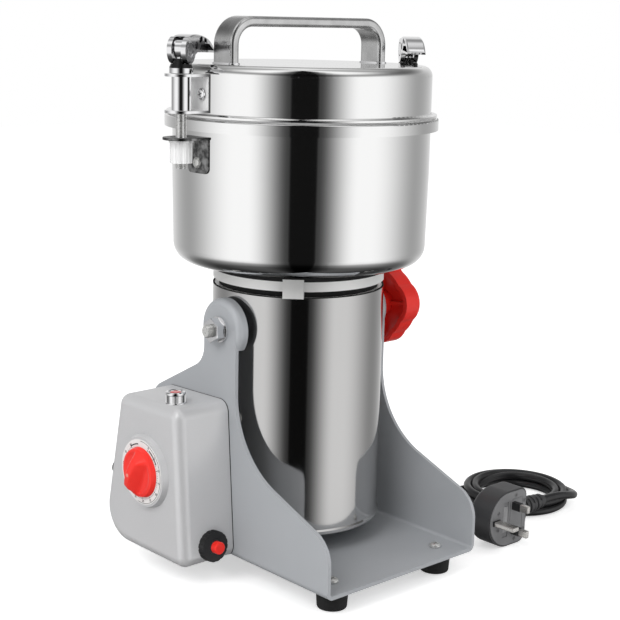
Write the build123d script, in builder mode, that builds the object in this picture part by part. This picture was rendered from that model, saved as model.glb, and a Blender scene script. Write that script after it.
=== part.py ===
from build123d import *
from math import asin, atan, cos, degrees, pi, radians, sin, tan
import os

os.makedirs("parts", exist_ok=True)

# A swing type electric grain mill. +Z is up, the feet stand on Z = 0, the open pouring side
# faces -Y and the control box is on the -X side. Millimetres and degrees throughout.

# ---- Driving dimensions ---------------------------------------------------------------------
# The motor's upright axis, measured from the middle of the mill's footprint
AXIS_X = 9.6
AXIS_Y = 10.8

# U-shaped frame, bent from one sheet
SHEET = 3.0
FRAME_WIDTH = 165.0
FRAME_UNDERSIDE = 17.0
FRAME_FRONT = -132.0
FRAME_REAR = 92.0
BEND_RADIUS = 2.5
NECK_HALF = 20.0
PIVOT_Z = 203.0
EAR_RADIUS = 24.5
EAR_EDGE_RADIUS = 5.0
EAR_DEPTH = 9.0
FRONT_SLOPE = 20.9
REAR_SLOPE = 27.9

# Motor, as wide as the drawn tube around it
SHELL_RADIUS = 70.4
SHELL_WALL = 1.2
SHELL_BOTTOM = 37.0
SHELL_TOP = 232.0
SHAFT_RADIUS = 6.0
BEARING_RADIUS = 16.0
BEARING_TALL = 10.0
CORE_BOTTOM = 96.0
CORE_TOP = 166.0
CORE_RADIUS = 62.0
ARMATURE_RADIUS = 31.5

# Grinding bowl and lid, spun from sheet
SKIN = 1.5
BOWL_RADIUS = 103.8
BOWL_BOTTOM = 251.5
BOWL_SEAT = 248.0
RIM_RADIUS = 110.0
RIM_BOTTOM = 360.0
RIM_TOP = 369.0
LID_FOOT = 370.5
LID_TOP = 410.0
HANDLE_TOP = 446.0
HANDLE_SPAN = 165.0

# Side latches, the left one is also the lid's hinge
LATCH_X = 121.0
ROD_RADIUS = 4.0
LEVER_PIN_Z = 421.0
TAB_TOP = 356.0

# Control box on the left cheek
BOX_DEPTH = 50.5
BOX_WALL = 2.5
BOX_BOTTOM = 18.0
BOX_TOP = 147.0
DIAL_Y = 29.0
DIAL_Z = 88.7

# Lead and plug
CORD_DIAMETER = 7.5
COIL_X = 245.0
COIL_Y = -42.0
COIL_MIDDLE = 41.5
PLUG_X = 145.5
PLUG_FACE_Y = -115.2
PLUG_Z = 25.0

# Clearances: a running fit, and the gap between faces that pass each other
RUNNING = 0.05
PASSING = 0.1

HALF_FRAME = FRAME_WIDTH / 2
CHEEK_INSIDE = HALF_FRAME - SHEET
FLOOR_TOP = FRAME_UNDERSIDE + SHEET
BOX_FACE = -HALF_FRAME - BOX_DEPTH
MOTOR_AXIS = Axis((AXIS_X, AXIS_Y, 0), (0, 0, 1))
PIVOT_AXIS = Axis((AXIS_X, AXIS_Y, PIVOT_Z), (1, 0, 0))


# ---- Planes, all measured from the foot of the motor's axis ----------------------------------
def level(z, x=0.0, y=0.0):
    """A horizontal plane: its own x is X and its own y is Y."""
    return Plane(origin=(AXIS_X + x, AXIS_Y + y, z), x_dir=(1, 0, 0), z_dir=(0, 0, 1))


def facing(y=0.0, x=0.0, z=0.0):
    """An upright plane that faces the open side, -Y: its own x is X and its own y is Z."""
    return Plane(origin=(AXIS_X + x, AXIS_Y + y, z), x_dir=(1, 0, 0), z_dir=(0, -1, 0))


def sideways(x=0.0, y=0.0, z=0.0):
    """An upright plane that faces +X: its own x is Y and its own y is Z."""
    return Plane(origin=(AXIS_X + x, AXIS_Y + y, z), x_dir=(0, 1, 0), z_dir=(1, 0, 0))


def tilted(x, y, z, rise, towards):
    """A plane on a leaning face of the box: its normal points along Y (towards = 1 or -1) and up by rise."""
    normal = (0, towards * cos(radians(rise)), sin(radians(rise)))
    return Plane(origin=(AXIS_X + x, AXIS_Y + y, z), x_dir=(1, 0, 0), z_dir=normal)


def corner(sketch, across, up):
    """The corner of an outline that is nearest to a point of its plane."""
    return sketch.vertices().sort_by_distance((across, up))[0]


def finish(piece, name):
    """Names a finished piece and writes it."""
    piece.part.label = name
    export_step(piece.part, f"parts/{name}.step")
    print(f"{name}: {len(piece.part.solids())} solid(s), {piece.part.volume / 1000:.1f} cm3")


# ---- Base ----------------------------------------------------------------------------------------
FEET = [(-58, -111), (58, -111), (-58, 70), (58, 70)]
BOX_SCREWS = [(-3, 127), (56, 125), (-3, 54), (66, 42)]
SCREW_HEAD_RADIUS = 4.75
SCREW_RADIUS = 2.5
SCREW_LENGTH = 14.0
BUSH_RADIUS = 7.0
STUD_RADIUS = 5.0
CHEEK_ROUND = 25.0
NECK_FRONT_HOLLOW = 72.0
NECK_REAR_HOLLOW = 20.0
EAR_FACE_RADIUS = 14.0

# The frame: a channel bent from one sheet, cut to the cheeks' outline, with a drawn ear round each pivot
with BuildPart() as u_frame:
    with BuildSketch(facing(FRAME_FRONT)):
        with Locations((0, FRAME_UNDERSIDE)):
            RectangleRounded(FRAME_WIDTH, 3 * PIVOT_Z, BEND_RADIUS + SHEET, align=(Align.CENTER, Align.MIN))
        with Locations((0, FLOOR_TOP)):
            RectangleRounded(
                FRAME_WIDTH - 2 * SHEET,
                4 * PIVOT_Z,
                BEND_RADIUS,
                align=(Align.CENTER, Align.MIN),
                mode=Mode.SUBTRACT,
            )
    extrude(amount=FRAME_FRONT - FRAME_REAR)
    neck_front_z = 104.0
    neck_rear_z = 174.0
    front_z = neck_front_z - (-NECK_HALF - FRAME_FRONT) * tan(radians(FRONT_SLOPE))
    rear_z = neck_rear_z - (FRAME_REAR - NECK_HALF) * tan(radians(REAR_SLOPE))
    with BuildSketch(sideways()) as cheek:
        with BuildLine():
            Polyline(
                (FRAME_FRONT, 0),
                (FRAME_FRONT, front_z),
                (-NECK_HALF, neck_front_z),
                (-NECK_HALF, PIVOT_Z),
                (NECK_HALF, PIVOT_Z),
                (NECK_HALF, neck_rear_z),
                (FRAME_REAR, rear_z),
                (FRAME_REAR, 0),
                close=True,
            )
        make_face()
        fillet(corner(cheek, FRAME_FRONT, front_z), CHEEK_ROUND)
        fillet(corner(cheek, -NECK_HALF, neck_front_z), NECK_FRONT_HOLLOW)
        fillet(corner(cheek, NECK_HALF, neck_rear_z), NECK_REAR_HOLLOW)
        fillet(corner(cheek, FRAME_REAR, rear_z), CHEEK_ROUND)
        with Locations((0, PIVOT_Z)):
            Circle(NECK_HALF)
    extrude(amount=FRAME_WIDTH, both=True, mode=Mode.INTERSECT)
    # the ear's edge is turned inwards all round its head, down to the neck
    ear_start = -asin((EAR_RADIUS - 10) / EAR_RADIUS)
    ear_plane = Plane(
        origin=(AXIS_X, AXIS_Y, PIVOT_Z),
        x_dir=(1, 0, 0),
        z_dir=(0, -sin(ear_start), cos(ear_start)),
    )
    for side in (-1, 1):
        with BuildSketch(ear_plane) as ear:
            with BuildLine():
                Polyline(
                    (side * HALF_FRAME, EAR_FACE_RADIUS),
                    (side * HALF_FRAME, EAR_RADIUS),
                    (side * (HALF_FRAME - EAR_DEPTH), EAR_RADIUS),
                    (side * (HALF_FRAME - EAR_DEPTH), EAR_RADIUS - SHEET),
                    (side * CHEEK_INSIDE, EAR_RADIUS - SHEET),
                    (side * CHEEK_INSIDE, EAR_FACE_RADIUS),
                    close=True,
                )
            make_face()
            fillet(corner(ear, side * HALF_FRAME, EAR_RADIUS), EAR_EDGE_RADIUS)
            fillet(corner(ear, side * CHEEK_INSIDE, EAR_RADIUS - SHEET), EAR_EDGE_RADIUS - SHEET)
        revolve(axis=PIVOT_AXIS, revolution_arc=180 - 2 * degrees(ear_start))
    with BuildSketch(sideways()):
        with Locations((0, PIVOT_Z)):
            Circle(BUSH_RADIUS)
    extrude(amount=FRAME_WIDTH, both=True, mode=Mode.SUBTRACT)
    with BuildSketch(level(FRAME_UNDERSIDE)):
        with Locations(*FEET):
            Circle(SCREW_RADIUS)
    extrude(amount=SHEET, mode=Mode.SUBTRACT)
    with BuildSketch(sideways(-HALF_FRAME)):
        with Locations(*BOX_SCREWS):
            Circle(SCREW_RADIUS)
    extrude(amount=SHEET, mode=Mode.SUBTRACT)
finish(u_frame, "u_frame")

# Rubber feet, slightly tapered, each with a moulded-in thread
FOOT_RADIUS = 13.0
FOOT_TAPER = 4.0
with BuildPart() as rubber_feet:
    with BuildSketch(level(FRAME_UNDERSIDE)):
        with Locations(*FEET):
            Circle(FOOT_RADIUS)
    extrude(amount=-FRAME_UNDERSIDE, taper=FOOT_TAPER)
    with BuildSketch(level(FRAME_UNDERSIDE)):
        with Locations(*FEET):
            Circle(SCREW_RADIUS)
    extrude(amount=-(SCREW_LENGTH - SHEET), mode=Mode.SUBTRACT)
finish(rubber_feet, "rubber_feet")

# Eight pan head screws: four down into the feet, four out through the left cheek into the box
SCREW_HEAD_TALL = 3.2
SCREW_HEAD_TAPER = 18.0
with BuildPart() as frame_screws:
    seats = [level(FLOOR_TOP, x, y) for x, y in FEET]
    seats += [sideways(-CHEEK_INSIDE, y, z) for y, z in BOX_SCREWS]
    for seat in seats:
        with BuildSketch(seat):
            Circle(SCREW_HEAD_RADIUS)
        extrude(amount=SCREW_HEAD_TALL, taper=SCREW_HEAD_TAPER)
        with BuildSketch(seat):
            Circle(SCREW_RADIUS)
        extrude(amount=-SCREW_LENGTH)
finish(frame_screws, "frame_screws")

# Flanged plastic bushes, pressed into the ears from inside
BUSH_FLANGE = 1.5
BUSH_FLANGE_RADIUS = 12.0
with BuildPart() as pivot_bushes:
    for side in (-1, 1):
        with BuildSketch(sideways(side * HALF_FRAME, 0, PIVOT_Z)):
            Circle(BUSH_RADIUS)
        extrude(amount=-side * SHEET)
        with BuildSketch(sideways(side * CHEEK_INSIDE, 0, PIVOT_Z)):
            Circle(BUSH_FLANGE_RADIUS)
        extrude(amount=-side * BUSH_FLANGE)
    with BuildSketch(sideways(0, 0, PIVOT_Z)):
        Circle(STUD_RADIUS + RUNNING)
    extrude(amount=FRAME_WIDTH, both=True, mode=Mode.SUBTRACT)
finish(pivot_bushes, "pivot_bushes")

# ---- Control box ---------------------------------------------------------------------------------
BOX_FRONT = -21.0
BOX_FRONT_TOP = -11.5
BOX_REAR_TOP = 68.0
BOX_REAR = 94.2
BOX_TOP_REAR = 144.5
FRONT_LEAN = degrees(atan((BOX_FRONT_TOP - BOX_FRONT) / (BOX_TOP - BOX_BOTTOM)))
REAR_LEAN = degrees(atan((BOX_REAR - BOX_REAR_TOP) / (BOX_TOP_REAR - BOX_BOTTOM)))
TOP_FALL = degrees(atan((BOX_TOP - BOX_TOP_REAR) / (BOX_REAR_TOP - BOX_FRONT_TOP)))
BOX_CORNER = 9.5
BOX_REAR_CORNER = 28.0
BOX_EDGE = 8.5
BOX_BOSS_RADIUS = 5.0
DIAL_BOSS = 4.5
DIAL_BOSS_RADIUS = 30.0
DIAL_BOSS_TAPER = 20.0
DIAL_FACE = BOX_FACE - DIAL_BOSS
SHAFT_HOLE_RADIUS = 5.0
BUTTON_X = -105.6
BUTTON_Z = 33.8
LAMP_X = -117.0
LAMP_Y = 11.5
BUTTON_NECK = 6.0
LAMP_NECK = 6.0
GLAND_NECK = 7.0
GLAND_X = -108.0
GLAND_Z = 64.5

front_face = tilted(
    BUTTON_X,
    BOX_FRONT + (BUTTON_Z - BOX_BOTTOM) * tan(radians(FRONT_LEAN)),
    BUTTON_Z,
    FRONT_LEAN,
    -1,
)
rear_face = tilted(
    GLAND_X,
    BOX_REAR - (GLAND_Z - BOX_BOTTOM) * tan(radians(REAR_LEAN)),
    GLAND_Z,
    REAR_LEAN,
    1,
)
top_face = tilted(
    LAMP_X,
    LAMP_Y,
    BOX_TOP - (LAMP_Y - BOX_FRONT_TOP) * tan(radians(TOP_FALL)),
    90 - TOP_FALL,
    1,
)

# The box: a cast cover with soft edges, open where the cheek closes it, and a raised round seat for the dial
with BuildPart() as control_box:
    with BuildSketch(sideways(-HALF_FRAME)) as box_outline:
        with BuildLine():
            Polyline(
                (BOX_FRONT, BOX_BOTTOM),
                (BOX_FRONT_TOP, BOX_TOP),
                (BOX_REAR_TOP, BOX_TOP_REAR),
                (BOX_REAR, BOX_BOTTOM),
                close=True,
            )
        make_face()
        fillet(corner(box_outline, BOX_FRONT, BOX_BOTTOM), BOX_CORNER)
        fillet(corner(box_outline, BOX_FRONT_TOP, BOX_TOP), BOX_CORNER)
        fillet(corner(box_outline, BOX_REAR_TOP, BOX_TOP_REAR), BOX_CORNER)
        fillet(corner(box_outline, BOX_REAR, BOX_BOTTOM), BOX_REAR_CORNER)
    extrude(amount=-BOX_DEPTH)
    outer_face = control_box.faces().sort_by(Axis.X)[0]
    fillet(outer_face.edges(), BOX_EDGE)
    cheek_side = control_box.faces().sort_by(Axis.X)[-1]
    offset(amount=-BOX_WALL, openings=cheek_side)
    with BuildSketch(sideways(BOX_FACE, DIAL_Y, DIAL_Z)):
        Circle(DIAL_BOSS_RADIUS)
    extrude(amount=-DIAL_BOSS, taper=DIAL_BOSS_TAPER)
    with BuildSketch(sideways(-HALF_FRAME)):
        with Locations(*BOX_SCREWS):
            Circle(BOX_BOSS_RADIUS)
    extrude(amount=-(BOX_DEPTH - BOX_WALL))
    with BuildSketch(sideways(-HALF_FRAME)):
        with Locations(*BOX_SCREWS):
            Circle(SCREW_RADIUS)
    extrude(amount=-(SCREW_LENGTH - SHEET), mode=Mode.SUBTRACT)
    with BuildSketch(sideways(DIAL_FACE, DIAL_Y, DIAL_Z)):
        Circle(SHAFT_HOLE_RADIUS)
    extrude(amount=DIAL_BOSS + BOX_WALL, mode=Mode.SUBTRACT)
    for seat, radius in ((front_face, BUTTON_NECK), (rear_face, GLAND_NECK), (top_face, LAMP_NECK)):
        with BuildSketch(seat.offset(1)):
            Circle(radius)
        extrude(amount=-(BOX_WALL + 2), mode=Mode.SUBTRACT)
finish(control_box, "control_box")

# Timer: a printed dial plate, the clockwork inside the box and the red knob on its shaft
DIAL_PLATE = 0.6
DIAL_PLATE_RADIUS = 26.5
with BuildPart() as dial_plate:
    with BuildSketch(sideways(DIAL_FACE, DIAL_Y, DIAL_Z)):
        Circle(DIAL_PLATE_RADIUS)
        Circle(SHAFT_HOLE_RADIUS, mode=Mode.SUBTRACT)
    extrude(amount=-DIAL_PLATE)
finish(dial_plate, "dial_plate")

TIMER_SHAFT = 3.0
TIMER_SIZE = 44.0
TIMER_DEPTH = 30.0
TIMER_CORNER = 4.0
TIMER_REACH = 15.0
with BuildPart() as timer_body:
    with BuildSketch(sideways(BOX_FACE + BOX_WALL, DIAL_Y, DIAL_Z)):
        RectangleRounded(TIMER_SIZE, TIMER_SIZE, TIMER_CORNER)
    extrude(amount=TIMER_DEPTH)
    with BuildSketch(sideways(BOX_FACE + BOX_WALL, DIAL_Y, DIAL_Z)):
        Circle(SHAFT_HOLE_RADIUS)
    extrude(amount=-(BOX_WALL + DIAL_BOSS))
    with BuildSketch(sideways(DIAL_FACE, DIAL_Y, DIAL_Z)):
        Circle(TIMER_SHAFT + RUNNING)
    extrude(amount=DIAL_BOSS + BOX_WALL + TIMER_REACH + 3, mode=Mode.SUBTRACT)
finish(timer_body, "timer_body")

KNOB_FOOT = DIAL_FACE - DIAL_PLATE - PASSING
KNOB_SKIRT = 5.0
KNOB_RADIUS = 20.5
KNOB_TAPER = 14.0
KNOB_RIDGE = 11.0
RIDGE_LONG = 37.0
RIDGE_WIDE = 13.0
RIDGE_TAPER = 9.0
RIDGE_LEAN = 24.0
RIDGE_EDGE = 1.5
with BuildPart() as timer_knob:
    with BuildSketch(sideways(KNOB_FOOT, DIAL_Y, DIAL_Z)):
        Circle(KNOB_RADIUS)
    extrude(amount=-KNOB_SKIRT, taper=KNOB_TAPER)
    with BuildSketch(sideways(KNOB_FOOT - KNOB_SKIRT, DIAL_Y, DIAL_Z)):
        SlotOverall(RIDGE_LONG, RIDGE_WIDE, rotation=90 + RIDGE_LEAN)
    extrude(amount=-KNOB_RIDGE, taper=RIDGE_TAPER)
    ridge_top = timer_knob.faces().sort_by(Axis.X)[0]
    fillet(ridge_top.edges(), RIDGE_EDGE)
    with BuildSketch(sideways(KNOB_FOOT, DIAL_Y, DIAL_Z)):
        Circle(TIMER_SHAFT)
    extrude(amount=DIAL_BOSS + BOX_WALL + TIMER_REACH)
finish(timer_knob, "timer_knob")

# Overload protector: body behind the front wall, black ring nut outside, red reset button in its neck
NUT_THICK = 6.0
NUT_RADIUS = 12.5
NUT_FLUTES = 16
FLUTE_RADIUS = 0.9
BUTTON_RADIUS = 5.0
BUTTON_LONG = 14.5
BUTTON_FOOT = 2.0
PROTECTOR_RADIUS = 8.0
PROTECTOR_DEEP = 26.5
PROTECTOR_SHOULDER = BOX_WALL + 0.5
NECK_END = NUT_THICK + 0.8
with BuildPart() as protector_body:
    with BuildSketch(front_face.offset(-PROTECTOR_SHOULDER)):
        Circle(PROTECTOR_RADIUS)
    extrude(amount=-PROTECTOR_DEEP)
    with BuildSketch(front_face.offset(-PROTECTOR_SHOULDER)):
        Circle(BUTTON_NECK)
    extrude(amount=PROTECTOR_SHOULDER + NECK_END)
    with BuildSketch(front_face.offset(NECK_END)):
        Circle(BUTTON_RADIUS + RUNNING)
    extrude(amount=-(NECK_END + BUTTON_FOOT + 7.2), mode=Mode.SUBTRACT)
finish(protector_body, "protector_body")

with BuildPart() as protector_nut:
    with BuildSketch(front_face):
        Circle(NUT_RADIUS)
        with PolarLocations(NUT_RADIUS + FLUTE_RADIUS / 2, NUT_FLUTES):
            Circle(FLUTE_RADIUS, mode=Mode.SUBTRACT)
        Circle(BUTTON_NECK, mode=Mode.SUBTRACT)
    extrude(amount=NUT_THICK)
finish(protector_nut, "protector_nut")

with BuildPart() as reset_button:
    with BuildSketch(front_face.offset(-BUTTON_FOOT)):
        Circle(BUTTON_RADIUS)
    extrude(amount=BUTTON_LONG)
    fillet(reset_button.edges().sort_by(Axis.Y)[0], 1.2)
finish(reset_button, "reset_button")

# Pilot lamp on top of the box: chromed bezel and red lens
BEZEL_RADIUS = 7.0
BEZEL_TALL = 7.0
LAMP_DEEP = 22.0
LENS_RADIUS = 5.2
LENS_FOOT = 1.0
LENS_TALL = 8.0
with BuildPart() as lamp_bezel:
    with BuildSketch(top_face):
        Circle(BEZEL_RADIUS)
    extrude(amount=BEZEL_TALL)
    chamfer(lamp_bezel.edges().sort_by(Axis.Z)[-1], 1)
    with BuildSketch(top_face):
        Circle(LAMP_NECK)
    extrude(amount=-LAMP_DEEP)
    with BuildSketch(top_face.offset(BEZEL_TALL)):
        Circle(LENS_RADIUS)
    extrude(amount=LENS_FOOT - BEZEL_TALL, mode=Mode.SUBTRACT)
finish(lamp_bezel, "lamp_bezel")

with BuildPart() as lamp_lens:
    with BuildSketch(top_face.offset(LENS_FOOT)):
        Circle(LENS_RADIUS)
    extrude(amount=LENS_TALL)
    fillet(lamp_lens.edges().sort_by(Axis.Z)[-1], 2)
finish(lamp_lens, "lamp_lens")

# Cord gland in the rear wall: flange and elbow outside, a tapered sleeve that points down behind the
# frame, and a hex nut inside
FLANGE_RADIUS = 12.5
FLANGE_THICK = 3.0
ELBOW_RADIUS = 8.0
ELBOW_REACH = 16.0
SLEEVE_MOUTH = 4.6
SLEEVE_LONG = 32.0
SLEEVE_DIP = 24.0
GLAND_NUT = 11.0
GLAND_NUT_THICK = 5.0
elbow = rear_face.offset(ELBOW_REACH).origin
sleeve_way = Vector(cos(radians(SLEEVE_DIP)), 0, -sin(radians(SLEEVE_DIP)))
with BuildPart() as cord_gland:
    with BuildSketch(rear_face):
        Circle(FLANGE_RADIUS)
    extrude(amount=FLANGE_THICK)
    with BuildSketch(rear_face):
        Circle(ELBOW_RADIUS)
    extrude(amount=ELBOW_REACH)
    with Locations(Location(elbow)):
        Sphere(ELBOW_RADIUS)
    with BuildSketch(Plane(origin=elbow, z_dir=sleeve_way)):
        Circle(ELBOW_RADIUS)
    extrude(amount=SLEEVE_LONG, taper=degrees(atan((ELBOW_RADIUS - SLEEVE_MOUTH) / SLEEVE_LONG)))
    with BuildSketch(rear_face):
        Circle(GLAND_NECK)
    extrude(amount=-(BOX_WALL + GLAND_NUT_THICK + 2.5))
    with BuildSketch(rear_face.offset(-BOX_WALL)):
        RegularPolygon(GLAND_NUT, 6)
    extrude(amount=-GLAND_NUT_THICK)
finish(cord_gland, "cord_gland")

# ---- Lead and plug -------------------------------------------------------------------------------
LAY = CORD_DIAMETER / 2
sleeve_end = elbow + SLEEVE_LONG * sleeve_way - Vector(AXIS_X, AXIS_Y, 0)
first_run = sleeve_end + 24 * sleeve_way
# the lead's route from the gland, down to the floor behind the frame, round the back and into the coil
LEAD_ROUTE = [
    (sleeve_end.X, sleeve_end.Y, sleeve_end.Z),
    (first_run.X, first_run.Y, first_run.Z),
    (-33, 106, 31),
    (-9, 116, 17.5),
    (20, 130, 8),
    (53, 138, LAY),
    (86, 130, LAY),
    (117, 107, LAY),
    (138, 76, LAY),
    (156, 44, LAY),
    (180, 17, LAY),
    (211, 0, LAY),
    (COIL_X, COIL_Y + COIL_MIDDLE, LAY),
]
PLUG_BODY = 24.0
PLUG_SIDE = 24.0
PLUG_CORNER = 9.0
PLUG_BACK_EDGE = 5.0
SLEEVE = 38.0
SLEEVE_ROOT = 8.5
SLEEVE_TIP = 4.8
plug_middle_y = PLUG_FACE_Y + PLUG_BODY / 2
tail_x = PLUG_X + PLUG_SIDE + SLEEVE
# the short tail from the coil's far side to the plug
TAIL_ROUTE = [
    (COIL_X + COIL_MIDDLE, COIL_Y, LAY),
    (COIL_X + COIL_MIDDLE, COIL_Y - 24, LAY),
    (273.6, -90.2, 9.6),
    (251.1, -103.2, 20.1),
    (225.5, plug_middle_y, PLUG_Z),
    (tail_x, plug_middle_y, PLUG_Z),
]


def bend_radii(route):
    """The largest tangent arc that each corner of a route has room for."""
    points = [Vector(*p) for p in route]
    radii = []
    for before, here, after in zip(points, points[1:], points[2:]):
        turn = radians((here - before).get_angle(after - here))
        shorter = min((here - before).length, (after - here).length)
        radii.append(0.45 * shorter / tan(turn / 2))
    return radii


def lead(route, name):
    """A plain round lead along a route of straight runs joined by tangent arcs."""
    radii = bend_radii(route)
    print(name, "bend radii", [round(radius) for radius in radii])
    points = [(AXIS_X + x, AXIS_Y + y, z) for x, y, z in route]
    with BuildPart() as cord:
        with BuildLine() as path:
            FilletPolyline(*points, radius=radii)
        with BuildSketch(Plane(origin=path.line @ 0, z_dir=path.line % 0)):
            Circle(CORD_DIAMETER / 2)
        sweep()
    length = sum(edge.length for edge in path.edges())
    print(name, "length", round(length), "volume ratio", cord.part.volume / (pi * LAY**2 * length))
    finish(cord, name)


lead(LEAD_ROUTE, "power_cord")
lead(TAIL_ROUTE, "cord_tail")

# The rest of the lead is wound two turns wide and two high
COIL_EDGE = 3.0
with BuildPart() as cord_coil:
    with BuildSketch(level(0, COIL_X, COIL_Y)):
        Circle(COIL_MIDDLE + CORD_DIAMETER)
        Circle(COIL_MIDDLE - CORD_DIAMETER, mode=Mode.SUBTRACT)
    extrude(amount=2 * CORD_DIAMETER)
    fillet(cord_coil.edges().filter_by(GeomType.CIRCLE), COIL_EDGE)
finish(cord_coil, "cord_coil")

# The moulded three pin plug lies on its side, its pins towards -Y and its sleeve towards +X
LIVE_PIN_X = 6.0
EARTH_PIN_X = LIVE_PIN_X - 22.2
LIVE_PIN_SPREAD = 11.1
LIVE_PIN = (4.0, 6.35, 17.7)
EARTH_PIN = (8.0, 4.0, 22.7)
plug_face = facing(PLUG_FACE_Y, PLUG_X, PLUG_Z)
with BuildPart() as plug_body:
    with BuildSketch(plug_face) as plug_outline:
        Circle(PLUG_Z)
        Rectangle(PLUG_SIDE, 2 * PLUG_Z, align=(Align.MIN, Align.CENTER))
        fillet(plug_outline.vertices().group_by(Axis.X)[-1], PLUG_CORNER)
    extrude(amount=-PLUG_BODY)
    back = plug_body.faces().sort_by(Axis.Y)[-1]
    fillet(back.edges(), PLUG_BACK_EDGE)
    with BuildSketch(sideways(PLUG_X + PLUG_SIDE, plug_middle_y, PLUG_Z)):
        Circle(SLEEVE_ROOT)
    extrude(amount=SLEEVE, taper=degrees(atan((SLEEVE_ROOT - SLEEVE_TIP) / SLEEVE)))
finish(plug_body, "plug_body")

with BuildPart() as plug_pins:
    with BuildSketch(plug_face):
        with Locations((EARTH_PIN_X, 0)):
            Rectangle(EARTH_PIN[0], EARTH_PIN[1])
    extrude(amount=EARTH_PIN[2])
    with BuildSketch(plug_face):
        with Locations((LIVE_PIN_X, LIVE_PIN_SPREAD), (LIVE_PIN_X, -LIVE_PIN_SPREAD)):
            Rectangle(LIVE_PIN[0], LIVE_PIN[1])
    extrude(amount=LIVE_PIN[2])
finish(plug_pins, "plug_pins")

# ---- Motor ---------------------------------------------------------------------------------------
SHELL_INSIDE = SHELL_RADIUS - SHELL_WALL
BOSS_RADIUS = 13.0
BOSS_END = CHEEK_INSIDE - BUSH_FLANGE - PASSING
BOSS_START = 62.5
RIM_LIP = 66.0
FOOT_ROLL = 1.2
FOOT_BEND = 3.0

# The shell: a drawn tube with a rolled foot, and a welded boss on each side for the pivot
with BuildPart() as motor_shell:
    with BuildSketch(facing()) as shell_profile:
        with BuildLine():
            Polyline(
                (RIM_LIP, SHELL_BOTTOM),
                (SHELL_RADIUS + FOOT_ROLL, SHELL_BOTTOM),
                (SHELL_RADIUS + FOOT_ROLL, SHELL_BOTTOM + FOOT_BEND),
                (SHELL_RADIUS, SHELL_BOTTOM + FOOT_BEND + FOOT_ROLL),
                (SHELL_RADIUS, SHELL_TOP),
                (SHELL_INSIDE, SHELL_TOP),
                (SHELL_INSIDE, SHELL_BOTTOM + FOOT_BEND),
                (RIM_LIP, SHELL_BOTTOM + FOOT_BEND),
                close=True,
            )
        make_face()
        fillet(corner(shell_profile, SHELL_RADIUS + FOOT_ROLL, SHELL_BOTTOM), FOOT_ROLL)
    revolve(axis=MOTOR_AXIS)
    for side in (-1, 1):
        with BuildSketch(sideways(side * BOSS_START, 0, PIVOT_Z)):
            Circle(BOSS_RADIUS)
        extrude(amount=side * (BOSS_END - BOSS_START))
    with BuildSketch(sideways(-BOSS_END, 0, PIVOT_Z)):
        Circle(STUD_RADIUS)
    extrude(amount=BOSS_END, mode=Mode.SUBTRACT)
    with BuildSketch(sideways(BOSS_END, 0, PIVOT_Z)):
        Circle(STUD_RADIUS + RUNNING)
    extrude(amount=-BOSS_END, mode=Mode.SUBTRACT)
finish(motor_shell, "motor_shell")

# Bottom cover: a pressed plate with cooling slots, held by the shell's rolled foot
COVER_BOTTOM = SHELL_BOTTOM + FOOT_BEND
COVER_RIM = 50.0
COVER_SHEET = 2.0
COOLING_SLOTS = 12
with BuildPart() as bottom_cover:
    with BuildSketch(level(COVER_BOTTOM)):
        Circle(SHELL_INSIDE - PASSING)
    extrude(amount=COVER_RIM - COVER_BOTTOM)
    with BuildSketch(level(COVER_RIM)):
        Circle(RIM_LIP)
    extrude(amount=-(COVER_RIM - COVER_BOTTOM - COVER_SHEET), mode=Mode.SUBTRACT)
    with BuildSketch(level(COVER_BOTTOM)):
        with PolarLocations(42, COOLING_SLOTS):
            SlotOverall(26, 5)
    extrude(amount=COVER_SHEET, mode=Mode.SUBTRACT)
finish(bottom_cover, "bottom_cover")

# Lower end frame: a four-armed casting with the bearing seat, the brush pads and the posts under the core
LOWER_BEARING = 50.0
BRUSH_PAD = 70.0
ARM_WIDE = 12.0
ARM_TALL = 8.0
RING_INSIDE = 60.0
HUB_RADIUS = 22.0
HUB_TALL = 14.0
HUB_FLOOR = 2.0
SHAFT_PASSAGE = 8.0
POST_CIRCLE = 63.0
POST_DEEP = 10.0
pad_bottom = COVER_RIM + ARM_TALL
with BuildPart() as lower_end_frame:
    with BuildSketch(level(COVER_RIM)):
        Circle(SHELL_INSIDE - PASSING)
        Circle(RING_INSIDE, mode=Mode.SUBTRACT)
        Rectangle(2 * CORE_RADIUS, ARM_WIDE)
        Rectangle(ARM_WIDE, 2 * CORE_RADIUS)
    extrude(amount=ARM_TALL)
    with BuildSketch(level(COVER_RIM - HUB_FLOOR)):
        Circle(HUB_RADIUS)
    extrude(amount=HUB_TALL)
    with BuildSketch(level(pad_bottom)):
        with Locations((0, -53), (0, 53)):
            Rectangle(14, 22)
    extrude(amount=BRUSH_PAD - pad_bottom)
    with BuildSketch(level(pad_bottom)):
        with PolarLocations(POST_CIRCLE, 4, start_angle=45):
            Rectangle(POST_DEEP, ARM_WIDE)
    extrude(amount=CORE_BOTTOM - pad_bottom)
    with BuildSketch(level(LOWER_BEARING)):
        Circle(BEARING_RADIUS)
    extrude(amount=HUB_TALL, mode=Mode.SUBTRACT)
    with BuildSketch(level(COVER_RIM - HUB_FLOOR)):
        Circle(SHAFT_PASSAGE)
    extrude(amount=HUB_TALL, mode=Mode.SUBTRACT)
finish(lower_end_frame, "lower_end_frame")

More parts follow.
